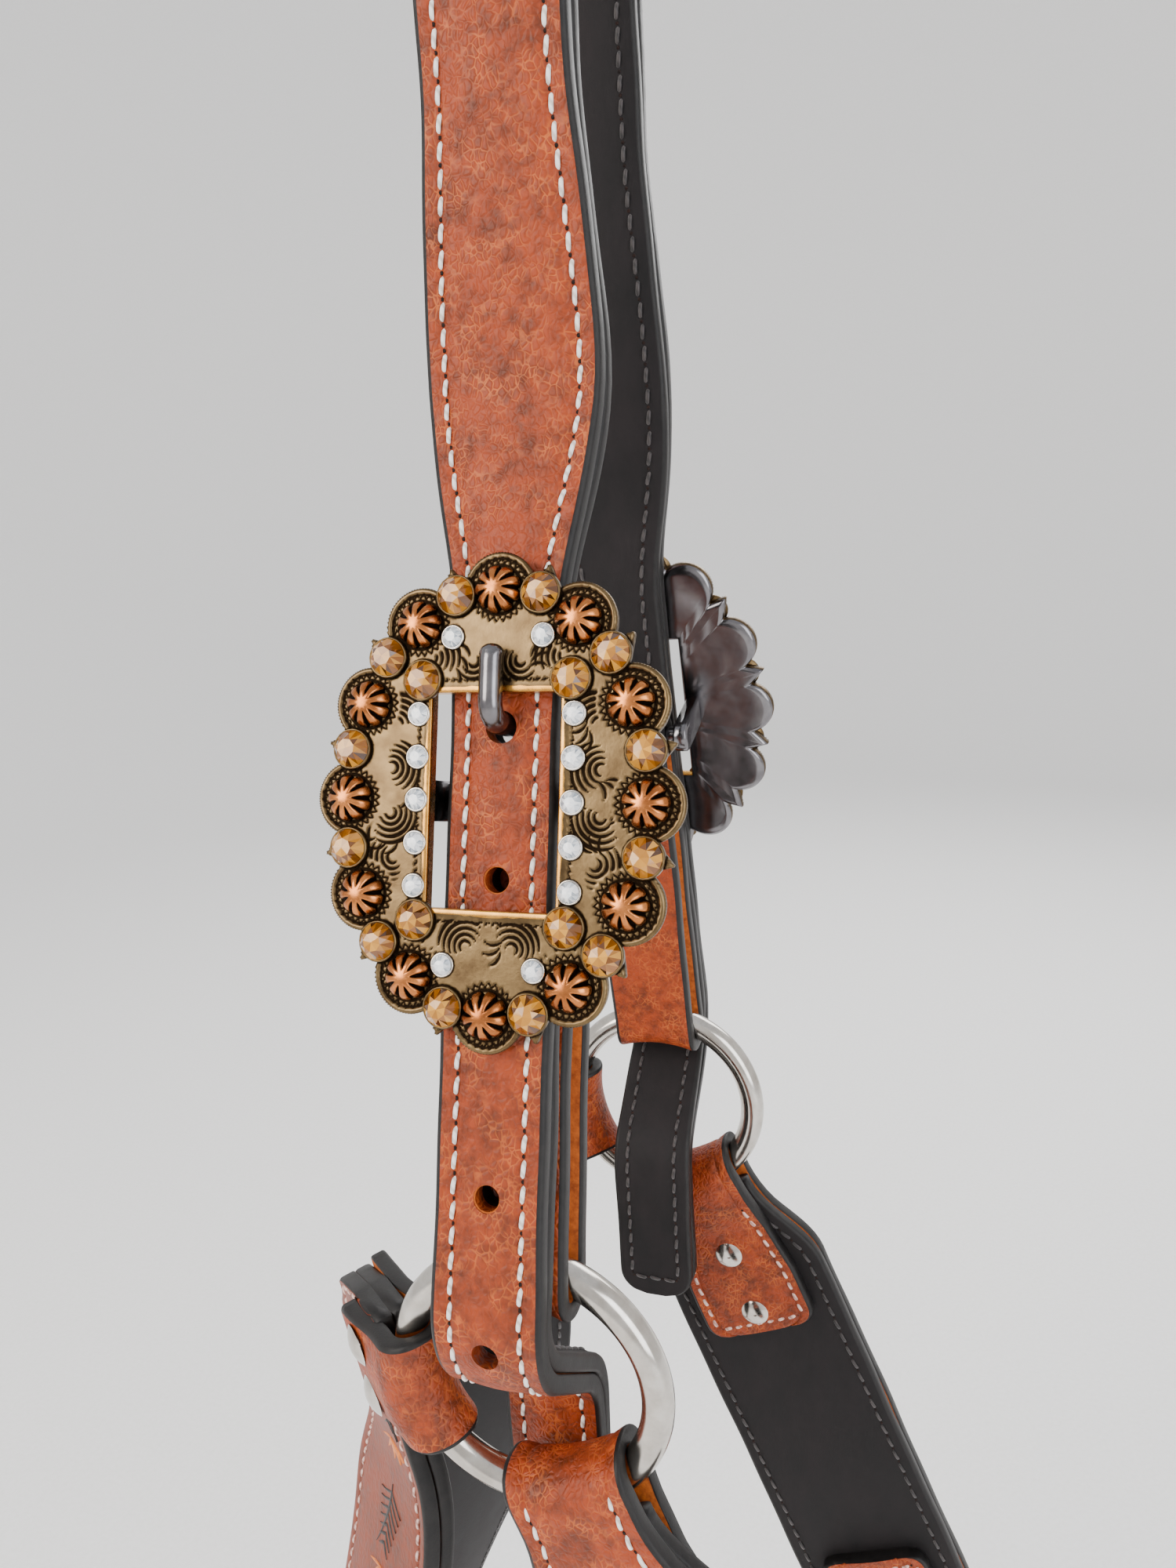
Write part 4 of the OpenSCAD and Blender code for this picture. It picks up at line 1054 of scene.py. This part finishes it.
def lug(side):
    """One ear behind the plate that carries the heel bar: a round-ended bar with soft edges."""
    lug_x = window_w / 2 + 0.6
    outline = [(-plate_back - 0.1, -3.5), (heel_in, -3.5)]
    outline += [(heel_in + 3.5 * sin(a), -3.5 * cos(a)) for a in range(15, 180, 15)]
    outline += [(heel_in, 3.5), (-plate_back - 0.1, 3.5)]
    rows = []
    layers = [(0.0, 0.5), (0.4, 0.1), (1.5, 0.0), (2.6, 0.1), (3.0, 0.5)]
    for x, shrink in [(lug_x + along, shrink) for along, shrink in layers]:
        middle_in = sum(p[0] for p in outline) / len(outline)
        rows += [at_buckle(side * x, u + (middle_in - u) * shrink / 8, v * (1 - shrink / 3.5))
                 for u, v in outline]
    count = len(outline)
    faces = grid_faces(5, count).tolist() + [list(range(count)), [4 * count + k for k in range(count)]]
    return np.array(rows), faces


parts = [lug(-1), lug(1)]
base = len(parts[0][0])
lug_faces = parts[0][1] + [[i + base for i in f] for f in parts[1][1]]
lug_verts = np.concatenate([parts[0][0], parts[1][0]])
pair(solid("heel_bar_lugs_left", lug_verts, lug_faces, [gunmetal]), "wither_strap", "antique_metal")


FLUTES = 9


def berry(centre, tilt):
    """A fluted dome: fat petals that part below a small smooth crown."""
    around, rows = 108, 16
    r0, tall = berry_d / 2, 3.0
    points, dark = [], []
    a = np.arange(around) * 2 * np.pi / around
    gap = np.abs(((a * FLUTES / (2 * np.pi) + tilt) % 1) - 0.5) * 2
    groove = np.exp(-(((1 - gap) / 0.32) ** 2))
    for k in range(rows + 1):
        t = k / rows
        polar = t * np.pi / 2
        open_here = np.clip((t - 0.2) / 0.22, 0, 1)
        depth = groove * open_here * (1 - 0.35 * t)
        r = r0 * np.sin(polar) * (1 - 0.24 * depth)
        h = tall * np.cos(polar) ** 0.85 * (1 - 0.26 * depth)
        out = -(plate_front + h - 0.05)
        points.append(np.stack([centre[0] + r * np.cos(a), out, centre[1] + r * np.sin(a)], axis=1))
        dark.append(np.clip(depth * 1.5 + 0.7 * max(0, t - 0.88) / 0.12, 0, 1))
    verts = np.concatenate([[[centre[0], -(plate_front + tall - 0.05), centre[1]]]] + points[1:])
    faces = (grid_faces(rows, around) + 1).tolist()
    faces += [[0, 1 + k, 1 + (k + 1) % around] for k in range(around)]
    faces.append([1 + (rows - 1) * around + k for k in range(around)][::-1])
    return verts, faces, np.concatenate([[0]] + dark[1:])


verts, faces, dark = [], [], []
for i, centre in enumerate(berries_at):
    v, f, d = berry(centre, 0.11 * i)
    faces += [[k + sum(len(p) for p in verts) for k in face] for face in f]
    verts.append(v)
    dark.append(d)
pair(solid("copper_berries_left", at_buckle.many(np.concatenate(verts)), faces, [copper_berry],
           fields={"hollow": np.concatenate(dark)}), "wither_strap", "copper", "berries_SIDE")


# Tone ranges of the painted facet reflections: facets round the table are painted brighter than the side
# facets
PAINTED_TABLE_GLINTS = (0.55, 1.0)
PAINTED_SIDE_GLINTS = (0.0, 0.9)


def brilliant(centre, r, tall, spin, seat):
    """A cut stone: table, star and kite facets over its girdle, each with its own tone, a painted reflection
    in place of the light the facet throws back.
    """
    def ring(count, share, up, turn):
        angles = [turn + 360 * k / count for k in range(count)]
        return [(centre[0] + r * share * cos(a), centre[1] + r * share * sin(a), up) for a in angles]
    rings = ring(8, 0.5, tall, spin) + ring(8, 0.78, tall * 0.74, spin + 22.5)
    rings += ring(16, 1.0, tall * 0.3, spin + 11.25) + ring(16, 0.94, 0.0, spin + 11.25)
    rings.append((centre[0], centre[1], tall * 1.04))
    t0, t1, t2, t3, tip = 0, 8, 16, 32, 48
    faces = []
    for k in range(8):
        n = (k + 1) % 8
        faces.append([tip, t0 + k, t0 + n])
        faces.append([t0 + k, t1 + k, t0 + n])
        a, b = t2 + 2 * k, t2 + 2 * k + 1
        c = t2 + (2 * k + 2) % 16
        faces.append([t1 + k, a, b])
        faces.append([t1 + k, b, t0 + n])
        faces.append([t0 + n, b, c])
        faces.append([t0 + n, c, t1 + n])
    for k in range(16):
        n = (k + 1) % 16
        faces.append([t2 + k, t3 + k, t3 + n, t2 + n])
    faces.append([t3 + k for k in range(16)][::-1])
    # Painted glints: facets that touch the table get brighter tones than the side facets, as if catching the
    # lamps from the front
    tones = [float(rng.uniform(*(PAINTED_TABLE_GLINTS if tip in f else PAINTED_SIDE_GLINTS))) for f in faces]
    points = [(x, -(seat + up), y) for x, y, up in rings]
    return np.array(points), faces, tones


def cup(centre, r, tall, seat, around=24):
    """The thin bezel that holds a stone."""
    rows = []
    turns = [360 * k / around for k in range(around)]
    cup = [(0.34, -0.15), (0.34, tall * 0.7), (0.2, tall), (-0.02, tall * 0.96), (-0.1, tall * 0.4)]
    for grow, up in cup:
        wide = r + grow
        rows += [(centre[0] + wide * cos(a), -(seat + up), centre[1] + wide * sin(a)) for a in turns]
    faces = grid_faces(5, around).tolist() + [list(range(around)), list(range(4 * around, 5 * around))]
    return np.array(rows), faces


def stones(name, places, d, tall, glass, bezel, slot, node):
    verts, faces, tones, cups, cup_faces = [], [], [], [], []
    for centre in places:
        spin = float(rng.uniform(0, 45))
        v, f, t = brilliant(centre, d / 2, tall, spin, plate_front + 0.12)
        base = sum(len(p) for p in verts)
        faces += [[i + base for i in face] for face in f]
        verts.append(v)
        tones += t
        v, f = cup(centre, d / 2, tall * 0.34, plate_front)
        base = sum(len(p) for p in cups)
        cup_faces += [[i + base for i in face] for face in f]
        cups.append(v)
    stone_verts = at_buckle.many(np.concatenate(verts))
    made = solid(name + "_left", stone_verts, faces, [glass], smooth=False, tones=tones)
    pair(made, "wither_strap", slot, node)
    cup_verts = at_buckle.many(np.concatenate(cups))
    cup_hollow = np.full(len(cup_verts), 0.1)
    made = solid(name + "_cups_left", cup_verts, cup_faces, [bezel], fields={"hollow": cup_hollow})
    pair(made, "wither_strap", "antique_metal")


AMBER_TALL = 2.7
CLEAR_TALL = 1.2
stones("amber_stones", amber_at, amber_d, AMBER_TALL, amber_glass, antique_plate,
       "amber_glass", "amber_crystals_SIDE")
stones("clear_stones", clear_at, clear_d, CLEAR_TALL, clear_glass, bright_nickel,
       "clear_glass", "rhinestones_SIDE")


def rod(path, radii, around=20):
    """A bar swept along points, in a place's own directions, with closed ends."""
    path = np.array(path, float)
    ways = np.gradient(path, axis=0)
    ways /= np.linalg.norm(ways, axis=1)[:, None]
    side = np.array([1.0, 0, 0])
    rows = []
    for spot, way, r in zip(path, ways, radii):
        across = side - (side @ way) * way
        across /= np.linalg.norm(across)
        up = np.cross(way, across)
        wide, deep = (r, r) if np.isscalar(r) else r
        turns = np.arange(around) * 360 / around
        rows.append([spot + wide * cos(a) * across + deep * sin(a) * up for a in turns])
    count = len(path)
    verts = np.concatenate(rows)
    faces = grid_faces(count, around).tolist()
    faces += [list(range(around)), list(range(len(verts) - around, len(verts)))]
    return verts, faces


def buckle_tongue():
    """A hooked rod: up from the heel bar, out through the billet, and up onto the plate."""
    front = plate_front + 2.0 + 0.25
    bend = 3.6
    moves = [(tongue_up - bend - 2.4, 0), (bend, 90), (heel_in + front - 2 * bend, 0), (bend, -90), (6.6, 0)]
    line = walk((heel_in, 2.4), 180, moves, step=1.0, arc_step=9)
    points = [(0, u, v) for u, v, a in line]
    count = len(points)
    radii = [(1.95, 1.95)] * count
    for k in range(1, 8):
        t = k / 7
        u, v = line[-1][0], line[-1][1]
        points.append((0, u + 0.25 * t, v + 2.1 * t))
        radii.append((2.1 * math.sqrt(max(0.01, 1 - t**2.6)), 1.8 * math.sqrt(max(0.01, 1 - t**2.6))))
    verts, faces = rod(points, radii)
    eye_verts, eye_faces = [], []
    around, rows = 28, ((-2.1, 2.15), (-2.1, 3.3), (-1.8, 3.6), (1.8, 3.6), (2.1, 3.3), (2.1, 2.15))
    for x, r in rows:
        turns = [360 * k / around for k in range(around)]
        eye_verts += [(x, heel_in + r * cos(a), r * sin(a)) for a in turns]
    eye_faces = grid_faces(len(rows), around, closed_rows=True) + len(verts)
    verts = np.concatenate([verts, eye_verts])
    return solid("buckle_tongue_left", at_buckle.many(verts), faces + eye_faces.tolist(), [gunmetal])


pair(buckle_tongue(), "tongue_SIDE", "gunmetal", "tongue_SIDE")


# ---- chest pieces -----------------------------------------------------------
root_out = 16.0
core_start = wire_r + 1.2
foot_out = 24.0
chest_top = -12.0
chest_straight = 30.0
down_dir = np.array([cos(chest_turn), 0, -sin(chest_turn)])
across_dir = cos(chest_yaw) * neck_dir + np.array([0, sin(chest_yaw), 0])
root_point = wire_point + root_out * across_dir
foot_across = foot_axes[:, 0]
foot_edge = centre_ring_at - (ring_r + foot_out) * foot_dir - chest_loop_w / 2 * foot_across
curve_a = root_point + chest_straight * down_dir
curve_b = curve_a + 60 * down_dir
curve_c = foot_edge - 80 * foot_dir
curve_len = float(np.linalg.norm(foot_edge - curve_a))
half_loop = chest_loop_w / 2


def curve(t):
    u = 1 - t
    return u**3 * curve_a + 3 * t * u**2 * curve_b + 3 * t**2 * u * curve_c + t**3 * foot_edge


def curve_way(t):
    u = 1 - t
    way = u**2 * (curve_b - curve_a) + 2 * t * u * (curve_c - curve_b) + t**2 * (foot_edge - curve_c)
    return way / np.linalg.norm(way)


def chest_width(v):
    wide = 0.6 + 16 * ease((v - chest_top) / 5) + 6 * ease((v + 6) / 8)
    wide += (chest_w - 22.6) * ease((v - 2) / 66)
    return wide - (chest_w - chest_loop_w) * ease((v - curve_len * 0.55) / (curve_len * 0.5))


def chest_station(edge, way, yaw, width):
    level = np.cross([0, 1, 0], way)
    level /= np.linalg.norm(level)
    out = sin(yaw) * level + cos(yaw) * np.cross(level, way)
    across = np.cross(way, out)
    return edge + across * width / 2, across, out, width / 2


def tongue_of(v):
    """How far the chest piece reaches in between the plies of its upper loop."""
    return 0 if abs(v) > half_loop + 0.01 else root_out - core_start


stations = []
for v in (-11, -10, -9, -8, -7, -6, -5, -3, -1, 1, 3, 5, 7, 9, 11, 11.01, 12.5, 14, 16, 18, 21, 24, 27):
    reach = tongue_of(v)
    edge = root_point + v * down_dir - reach * across_dir
    stations.append(chest_station(edge, down_dir, chest_yaw, chest_width(v) + reach))
for k in range(91):
    t = k / 90
    width = chest_loop_w if k == 90 else chest_width(chest_straight + t * curve_len)
    yaw = chest_yaw + (90 - chest_yaw) * ease(t)
    stations.append(chest_station(curve(t), curve_way(t), yaw, width))
for more in (8, foot_out - core_start):
    stations.append(chest_station(foot_edge + more * foot_dir, foot_dir, 90, chest_loop_w))
chest_band = Band(*(list(column) for column in zip(*stations)))

chest_finishes = [chest_leather, burnished_edge, flesh_side]
chest_face = leather("chest_face_left", chest_band, 0, face_t, chest_finishes, groove=True, crown=0.3)
pair(chest_face, "chest", "brown_leather", "chest_face_SIDE")
chest_lining = leather("chest_lining_left", chest_band, -lining_t, 0, LINING_FINISHES, low_round=LINING_ROUND)
pair(chest_lining, "chest", "black_leather", "chest_lining_SIDE")

past_tongue = 1.5
loop_end_s = float(chest_band.s[16])
foot_s = chest_band.length - foot_out
chest_seam = SEAM + 0.6
chest_pitch = 3.6
chest_sides = ((1, past_tongue), (-1, loop_end_s + 4))
chest_lines = [edge_line(chest_band, s, foot_s, chest_seam, groove_lift, side) for side, s in chest_sides]
pair(stitches("chest_stitching_left", chest_lines, faded_thread, pitch=chest_pitch), "chest")
back_lines = [edge_line(chest_band, s, foot_s, chest_seam, -lining_t, side, facing=-1)
              for side, s in chest_sides]
pair(stitches("chest_back_stitching_left", back_lines, black_thread, pitch=chest_pitch, high=0.2), "chest")


def brush_mark(s, x, length, bend, wide, lift=0.12, lean=0.0):
    """One tapering stroke of paint on the chest piece's face: points and quads."""
    rows = []
    steps = 12
    for k in range(steps + 1):
        t = k / steps
        swell = wide * (math.sin(math.pi * min(1, t * 1.25)) if t < 0.4 else (1 - t) ** 0.8 / 0.6**0.8)
        ss = s + length * t * cos(lean + bend * t)
        xx = x + length * t * sin(lean + bend * t)
        for side in (-1, -0.4, 0.4, 1):
            # The outer points dip into the leather
            high = face_t + 0.42 + lift * (1 - abs(side)) - 0.3 * (abs(side) > 0.9)
            rows.append(chest_band.at(ss, xx + side * max(swell, 0.03), high)[0])
    return np.array(rows), grid_faces(steps + 1, 4, closed_columns=False)


def chest_sprig(s, x, scale, turn_way):
    """A plain leaf spray: a stem with pairs of strokes."""
    strokes = [brush_mark(s, x, 20 * scale, 14 * turn_way, 0.75)]
    for k in range(7):
        for side in (-1, 1):
            foot = s + (2.2 + 2.3 * k) * scale
            strokes.append(brush_mark(foot, x + 0.14 * k * turn_way, (6.4 - 0.5 * k) * scale,
                                      side * 18, 0.95 * scale, lean=side * (44 - 2 * k)))
    return strokes


SPRIGS = 5
SPRIG_GAP = 40
sprigs = []
for k in range(SPRIGS):
    sprigs += chest_sprig(26 + SPRIG_GAP * k, -3.5 + 2.0 * (k % 2), 1.05, 1 if k % 2 else -1)
verts, faces = joined(sprigs)
pair(solid("painted_leaves_left", verts, faces, [black_paint]), "chest", "black_leather")
petals = []
for k in range(SPRIGS):
    for a in (-64, -32, 0, 32, 64):
        petals.append(brush_mark(49 + SPRIG_GAP * k, -3.0 + 2.0 * (k % 2), 7.0, 0, 1.25, lean=a))
verts, faces = joined(petals)
pair(solid("painted_petals_left", verts, faces, [orange_paint]), "chest", "brown_leather")


def fold_band(place, outer_len, inner_len, half):
    """A strap end that hangs down outside, turns over the wire and hangs down inside."""
    moves = [(outer_len, 0), (loop_mid, -180), (inner_len, 0)]
    path = walk((-loop_mid, -outer_len), 180, moves, step=1.5, arc_step=9)
    return path_band(path, place, half, outside=-1.0)


neck_patch = 28.0
upper_band = fold_band(at_neck, root_out, neck_patch, half_loop)
upper = leather("chest_upper_loop_left", upper_band, -face_t / 2, face_t / 2, STRAP_FINISHES, low_round=0.5)
pair(saddle(upper, at_neck, -neck_dir), "chest", "brown_leather", "chest_upper_loop_SIDE")
lower_band = fold_band(at_foot, foot_out - 2, foot_out - 2, half_loop)
lower = leather("chest_lower_loop_left", lower_band, -face_t / 2, face_t / 2, STRAP_FINISHES, low_round=0.5)
pair(saddle(lower, at_foot, foot_dir), "chest", "brown_leather", "chest_lower_loop_SIDE")

# A single pale thread laid along the neck's root
root_line = np.array([at_neck(x, -loop_in - 0.15, -root_out - 0.35) for x in np.linspace(-10.6, 10.6, 40)])
root_up = np.array([at_neck.way(0, -1, -0.4)] * 40)
root_thread = stitches("neck_root_thread_left", [(root_line, root_up)], white_thread, pitch=2.2, slant=0,
                       thick=0.34, high=0.1)
pair(root_thread, "chest")
inset = 2.6
last_s = upper_band.length - inset
first_s = upper_band.length - neck_patch + 2
patch_lines = [edge_line(upper_band, first_s, last_s, inset, face_t / 2, side) for side in (-1, 1)]
patch_lines.append(cross_line(upper_band, last_s, half_loop - inset, face_t / 2, count=18))
pair(stitches("neck_patch_stitching_left", patch_lines, faded_thread, pitch=3.0, thick=0.36), "chest")


# ---- tugs -------------------------------------------------------------------
lean_in_r, lean_in, patch_len, patch_half = 10.0, 14.0, 28.0, 15.0
lean_shift = loop_mid + loop_in - lining_t - face_t / 2
lean_len = (lean_shift - 2 * lean_in_r * (1 - cos(lean_in))) / sin(lean_in)
corner_r = 4.0
flare_down, flare_up = 8, 16


def tug_half(d):
    room = min(d - ring_r, tug_len - d)
    return (tug_neck_w + (tug_w - tug_neck_w) * ease((room - 5) / 26)) / 2


end_moves = [(loop_mid, -180), (lean_in_r, -lean_in), (lean_len, 0), (lean_in_r, lean_in)]
end_moves += [(patch_len - corner_r, 0)] + [(corner_r / 8, 0)] * 8
end_path = walk((-loop_mid, 0), 180, end_moves, step=1.5, arc_step=9)
end_v = end_path[-1][1]


def patch_wide(v):
    share = (-flare_down - v) / (-flare_down - end_v - flare_up)
    half = tug_neck_w / 2 + (patch_half - tug_neck_w / 2) * min(1, max(0, share))
    left = v - end_v
    if left < corner_r:
        half += math.sqrt(max(0, corner_r**2 - (corner_r - left) ** 2)) - corner_r
    return half


points, outs, halves = [], [], []
for u, v, a in reversed(end_path):
    points.append(at_tug(0, u, -tug_len - v))
    outs.append(at_tug.way(0, cos(a), -sin(a)))
    halves.append(patch_wide(v) if v < 0 and u > 0 else tug_neck_w / 2)
for k in range(1, 80):
    d = tug_len - (tug_len - ring_r) * k / 80
    points.append(at_tug(0, -loop_mid, -d))
    outs.append(at_tug.way(0, -1, 0))
    halves.append(tug_half(d))
for u, v, a in end_path:
    points.append(at_tug(0, u, -ring_r + v))
    outs.append(at_tug.way(0, cos(a), sin(a)))
    halves.append(patch_wide(v) if v < 0 and u > 0 else tug_neck_w / 2)
tug_band = Band(points, [at_tug.way(1, 0, 0)] * len(points), outs, halves)
tug_face = leather("tug_face_left", tug_band, -face_t / 2, face_t / 2, STRAP_FINISHES,
                   groove=True, crown=0.35, low_round=0.4)
at_tug_wire = Place(at_tug(0, 0, -ring_r), at_tug.axes)
saddle(tug_face, at_tug_wire, at_tug.way(0, 0, 1))
cut_box(tug_face, at_tug, -tug_len - 2, (7, 30, 24))
pair(tug_face, "tug_SIDE", "brown_leather", "tug_face_SIDE")

lining_ds = np.linspace(ring_r + core_start, tug_len - core_start - 8, 70)
lining_band = Band([at_tug(0, -loop_in, -d) for d in lining_ds], [at_tug.way(1, 0, 0)] * len(lining_ds),
                   [at_tug.way(0, -1, 0)] * len(lining_ds), [tug_half(d) for d in lining_ds])
tug_lining = leather("tug_lining_left", lining_band, -lining_t, 0, LINING_FINISHES, low_round=LINING_ROUND)
pair(tug_lining, "tug_SIDE", "black_leather", "tug_lining_SIDE")

fold_len = float(tug_band.s[len(end_path) - 1])
body_from, body_to = fold_len - 6, tug_band.length - fold_len + 13
lift = face_t / 2 - 0.2
tug_lines = [edge_line(tug_band, body_from + 10, body_to, SEAM, lift, side) for side in (-1, 1)]
pair(stitches("tug_stitching_left", tug_lines, white_thread, slant=10), "tug_SIDE")
tug_back = [edge_line(lining_band, 1.0, lining_band.length, SEAM, -lining_t, side, facing=-1)
            for side in (-1, 1)]
pair(stitches("tug_back_stitching_left", tug_back, black_thread, high=0.2), "tug_SIDE")
patch_lines = []
for first, last in ((2.6, patch_len + 8), (tug_band.length - patch_len - 8, tug_band.length - 2.6)):
    for side in (-1, 1):
        patch_lines.append(edge_line(tug_band, first, last, 2.8, lift, side))
    end = first if first < 10 else last
    patch_lines.append(cross_line(tug_band, end, patch_half - 4.4, lift + 0.1, count=20))
pair(stitches("tug_patch_stitching_left", patch_lines, faded_thread, pitch=3.2, thick=0.46), "tug_SIDE")


# ---- girth strap ------------------------------------------------------------
eye_d = 5.0
eye_r = eye_d / 2 + loop_slack + face_t / 2
at_eye = Place(at_girth(0, 0, -girth_len), at_girth.axes)
girth_band = belt_band(at_eye, loop_mid, eye_r, girth_len, girth_w / 2)
girth = leather("girth_strap", girth_band, -face_t / 2, face_t / 2, STRAP_FINISHES,
                groove=True, crown=0.25, low_round=0.5)


def flare(x):
    """Radius about the girth strap's hinge that clears the ring's curved wire, x along the hinge."""
    drop = math.sqrt(ring_r**2 - x * x)
    return ring_r - drop + (wire_r + part_gap) * ring_r / drop


BORE_RINGS = 17
BORE_AROUND = 36
bore_reach = girth_w / 2 + 0.8
bore_rows = [(x, flare(x), 360 * k / BORE_AROUND) for x in np.linspace(-bore_reach, bore_reach, BORE_RINGS)
             for k in range(BORE_AROUND)]
bore = bmesh.new()
bore_verts = [bore.verts.new(at_girth(x, r * cos(a), r * sin(a)) * MM) for x, r, a in bore_rows]
bore_faces = grid_faces(BORE_RINGS, BORE_AROUND).tolist()
bore_faces.append(list(range(BORE_AROUND))[::-1])
bore_faces.append(list(range(len(bore_rows) - BORE_AROUND, len(bore_rows))))
for face in bore_faces:
    bore.faces.new([bore_verts[k] for k in face])
bmesh.ops.recalc_face_normals(bore, faces=bore.faces)
cut(girth, bore)
bore.free()
settle(girth, "girth_strap", "brown_leather", "girth_strap")
past_head = float(girth_band.s[TURN_POINTS - 1]) + 8
girth_lines = []
for first in (past_head, past_head + girth_len + 18):
    last = min(first + girth_len - 16, girth_band.length - 1)
    girth_lines += [edge_line(girth_band, first, last, SEAM, lift, side) for side in (-1, 1)]
settle(stitches("girth_stitching", girth_lines, white_thread), "girth_strap")


# ---- metal pieces that keep their frame shapes ------------------------------
def plated(nodes, finish, soften=0.0):
    """Gives frame pieces their finish, and breaks their sharp edges where asked."""
    for name in nodes:
        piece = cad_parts[name]
        piece.data.materials.clear()
        piece.data.materials.append(finish)
        if soften:
            edge = piece.modifiers.new("edges", "BEVEL")
            edge.width = soften * MM
            edge.segments = 3
            edge.limit_method = "ANGLE"
            edge.angle_limit = math.radians(40)


sides = ("left", "right")
drawn_wire = [f"{n}_{s}" for n in ("shoulder_ring", "tug_buckle") for s in sides]
plated(drawn_wire + ["centre_ring", "snap_swivel"], bright_nickel)
screws = [f"{n}_{s}" for n in ("tab_screws", "chest_screws", "tug_screws") for s in sides]
plated(screws + ["girth_screws"], bright_nickel)
plated(["snap_body"], bright_nickel, 0.5)
plated([f"tug_roller_{s}" for s in sides], bright_nickel, 0.4)
plated([f"tug_tongue_{s}" for s in sides] + ["snap_bolt"], satin_nickel, 0.3)
plated([f"heel_bar_{s}" for s in sides], gunmetal, 0.4)


# ---- stage, lights and camera ----------------------------------------------
def bowl():
    """A pale floor that curves up all round, below the lowest piece."""
    low = cad_low.z - 0.004
    profile_points = [(1.2, low), (2.4, low)]
    profile_points += [(2.4 + 1.4 * sin(a), low + 1.4 * (1 - cos(a))) for a in range(10, 91, 10)]
    profile_points.append((3.8, low + 4.4))
    around = 96
    turns = [360 * k / around for k in range(around)]
    verts = [(r * cos(a), r * sin(a), z) for r, z in profile_points for a in turns]
    count = len(profile_points)
    verts.append((0.0, 0.0, low))
    faces = grid_faces(count, around)[:, ::-1].tolist()
    faces += [[k, (k + 1) % around, count * around] for k in range(around)]
    mesh = bpy.data.meshes.new("studio_floor")
    mesh.from_pydata(verts, [], faces)
    mesh.polygons.foreach_set("use_smooth", np.full(len(mesh.polygons), True))
    made = bpy.data.objects.new("studio_floor", mesh)
    bpy.context.scene.collection.objects.link(made)
    return made


def floor_paint():
    """Matt white emulsion, rolled: a faint stipple."""
    made, tree, shader = finish_of("matt_white_emulsion", "#FBFAF8", Roughness=0.9)
    place = add(tree, "TexCoord").outputs["Object"]
    stipple = add(tree, "TexNoise", {"Vector": place, "Scale": per_mm(3), "Detail": 3.0}).outputs["Fac"]
    colour_node = add(tree, "ValToRGB", {"Fac": stipple},
                      stops=[(0.3, "#F7F6F4"), (0.7, "#FDFCFB")])
    colour = colour_node.outputs["Color"]
    tree.links.new(colour, shader.inputs["Base Color"])
    relief = add(tree, "Bump", {"Height": stipple, "Strength": 0.1, "Distance": 0.0003})
    tree.links.new(relief.outputs["Normal"], shader.inputs["Normal"])
    return made


floor = bowl()
floor.data.materials.append(floor_paint())

world = bpy.data.worlds.new("studio")
world.use_nodes = True
sky = world.node_tree.nodes["Background"]
sky.inputs["Color"].default_value = linear("#F4F6FA")
sky.inputs["Strength"].default_value = 1.0
bpy.context.scene.world = world


def lamp(name, place, aim, size, watts, tint):
    data = bpy.data.lights.new(name, "AREA")
    data.shape = "RECTANGLE"
    data.size, data.size_y = size
    data.energy = watts
    data.color = linear(tint)[:3]
    made = bpy.data.objects.new(name, data)
    made.location = place
    made.rotation_mode = "QUATERNION"
    made.rotation_quaternion = (Matrix.Translation(aim).translation - made.location).to_track_quat("-Z", "Y")
    bpy.context.scene.collection.objects.link(made)


middle = (0, -0.03, -0.25)
lamp("key_softbox", (-0.9, -1.3, 0.55), middle, (0.9, 1.2), 30, "#FFF8F0")
lamp("fill_softbox", (1.3, -0.9, 0.1), middle, (0.8, 1.4), 17, "#F6FAFF")
lamp("back_softbox", (0.3, 1.5, 0.7), middle, (1.4, 1.0), 24, "#FFFFFF")

# The camera stands a hand's reach from the near buckle
CAMERA_AT = (67.8, -203.3, -182.5)
AZIMUTH, ELEVATION, ROLL = 18.23, 12.88, -3.35
PICTURE_TALL = 2000
FOCAL = 1397.0
ahead = np.array([-sin(AZIMUTH) * cos(ELEVATION), cos(AZIMUTH) * cos(ELEVATION), -sin(ELEVATION)])
level = np.array([cos(AZIMUTH), sin(AZIMUTH), 0.0])
rise = np.cross(level, ahead)
right = level * cos(ROLL) + rise * sin(ROLL)
top = rise * cos(ROLL) - level * sin(ROLL)
lens = bpy.data.cameras.new("camera")
lens.sensor_width = 36
lens.lens = FOCAL / PICTURE_TALL * lens.sensor_width
lens.clip_start = 0.01
lens.clip_end = 20
camera = bpy.data.objects.new("camera", lens)
turn = Matrix([[right[k], top[k], -ahead[k]] for k in range(3)]).to_4x4()
camera.matrix_world = Matrix.Translation([c * MM for c in CAMERA_AT]) @ turn
bpy.context.scene.collection.objects.link(camera)
bpy.context.scene.camera = camera
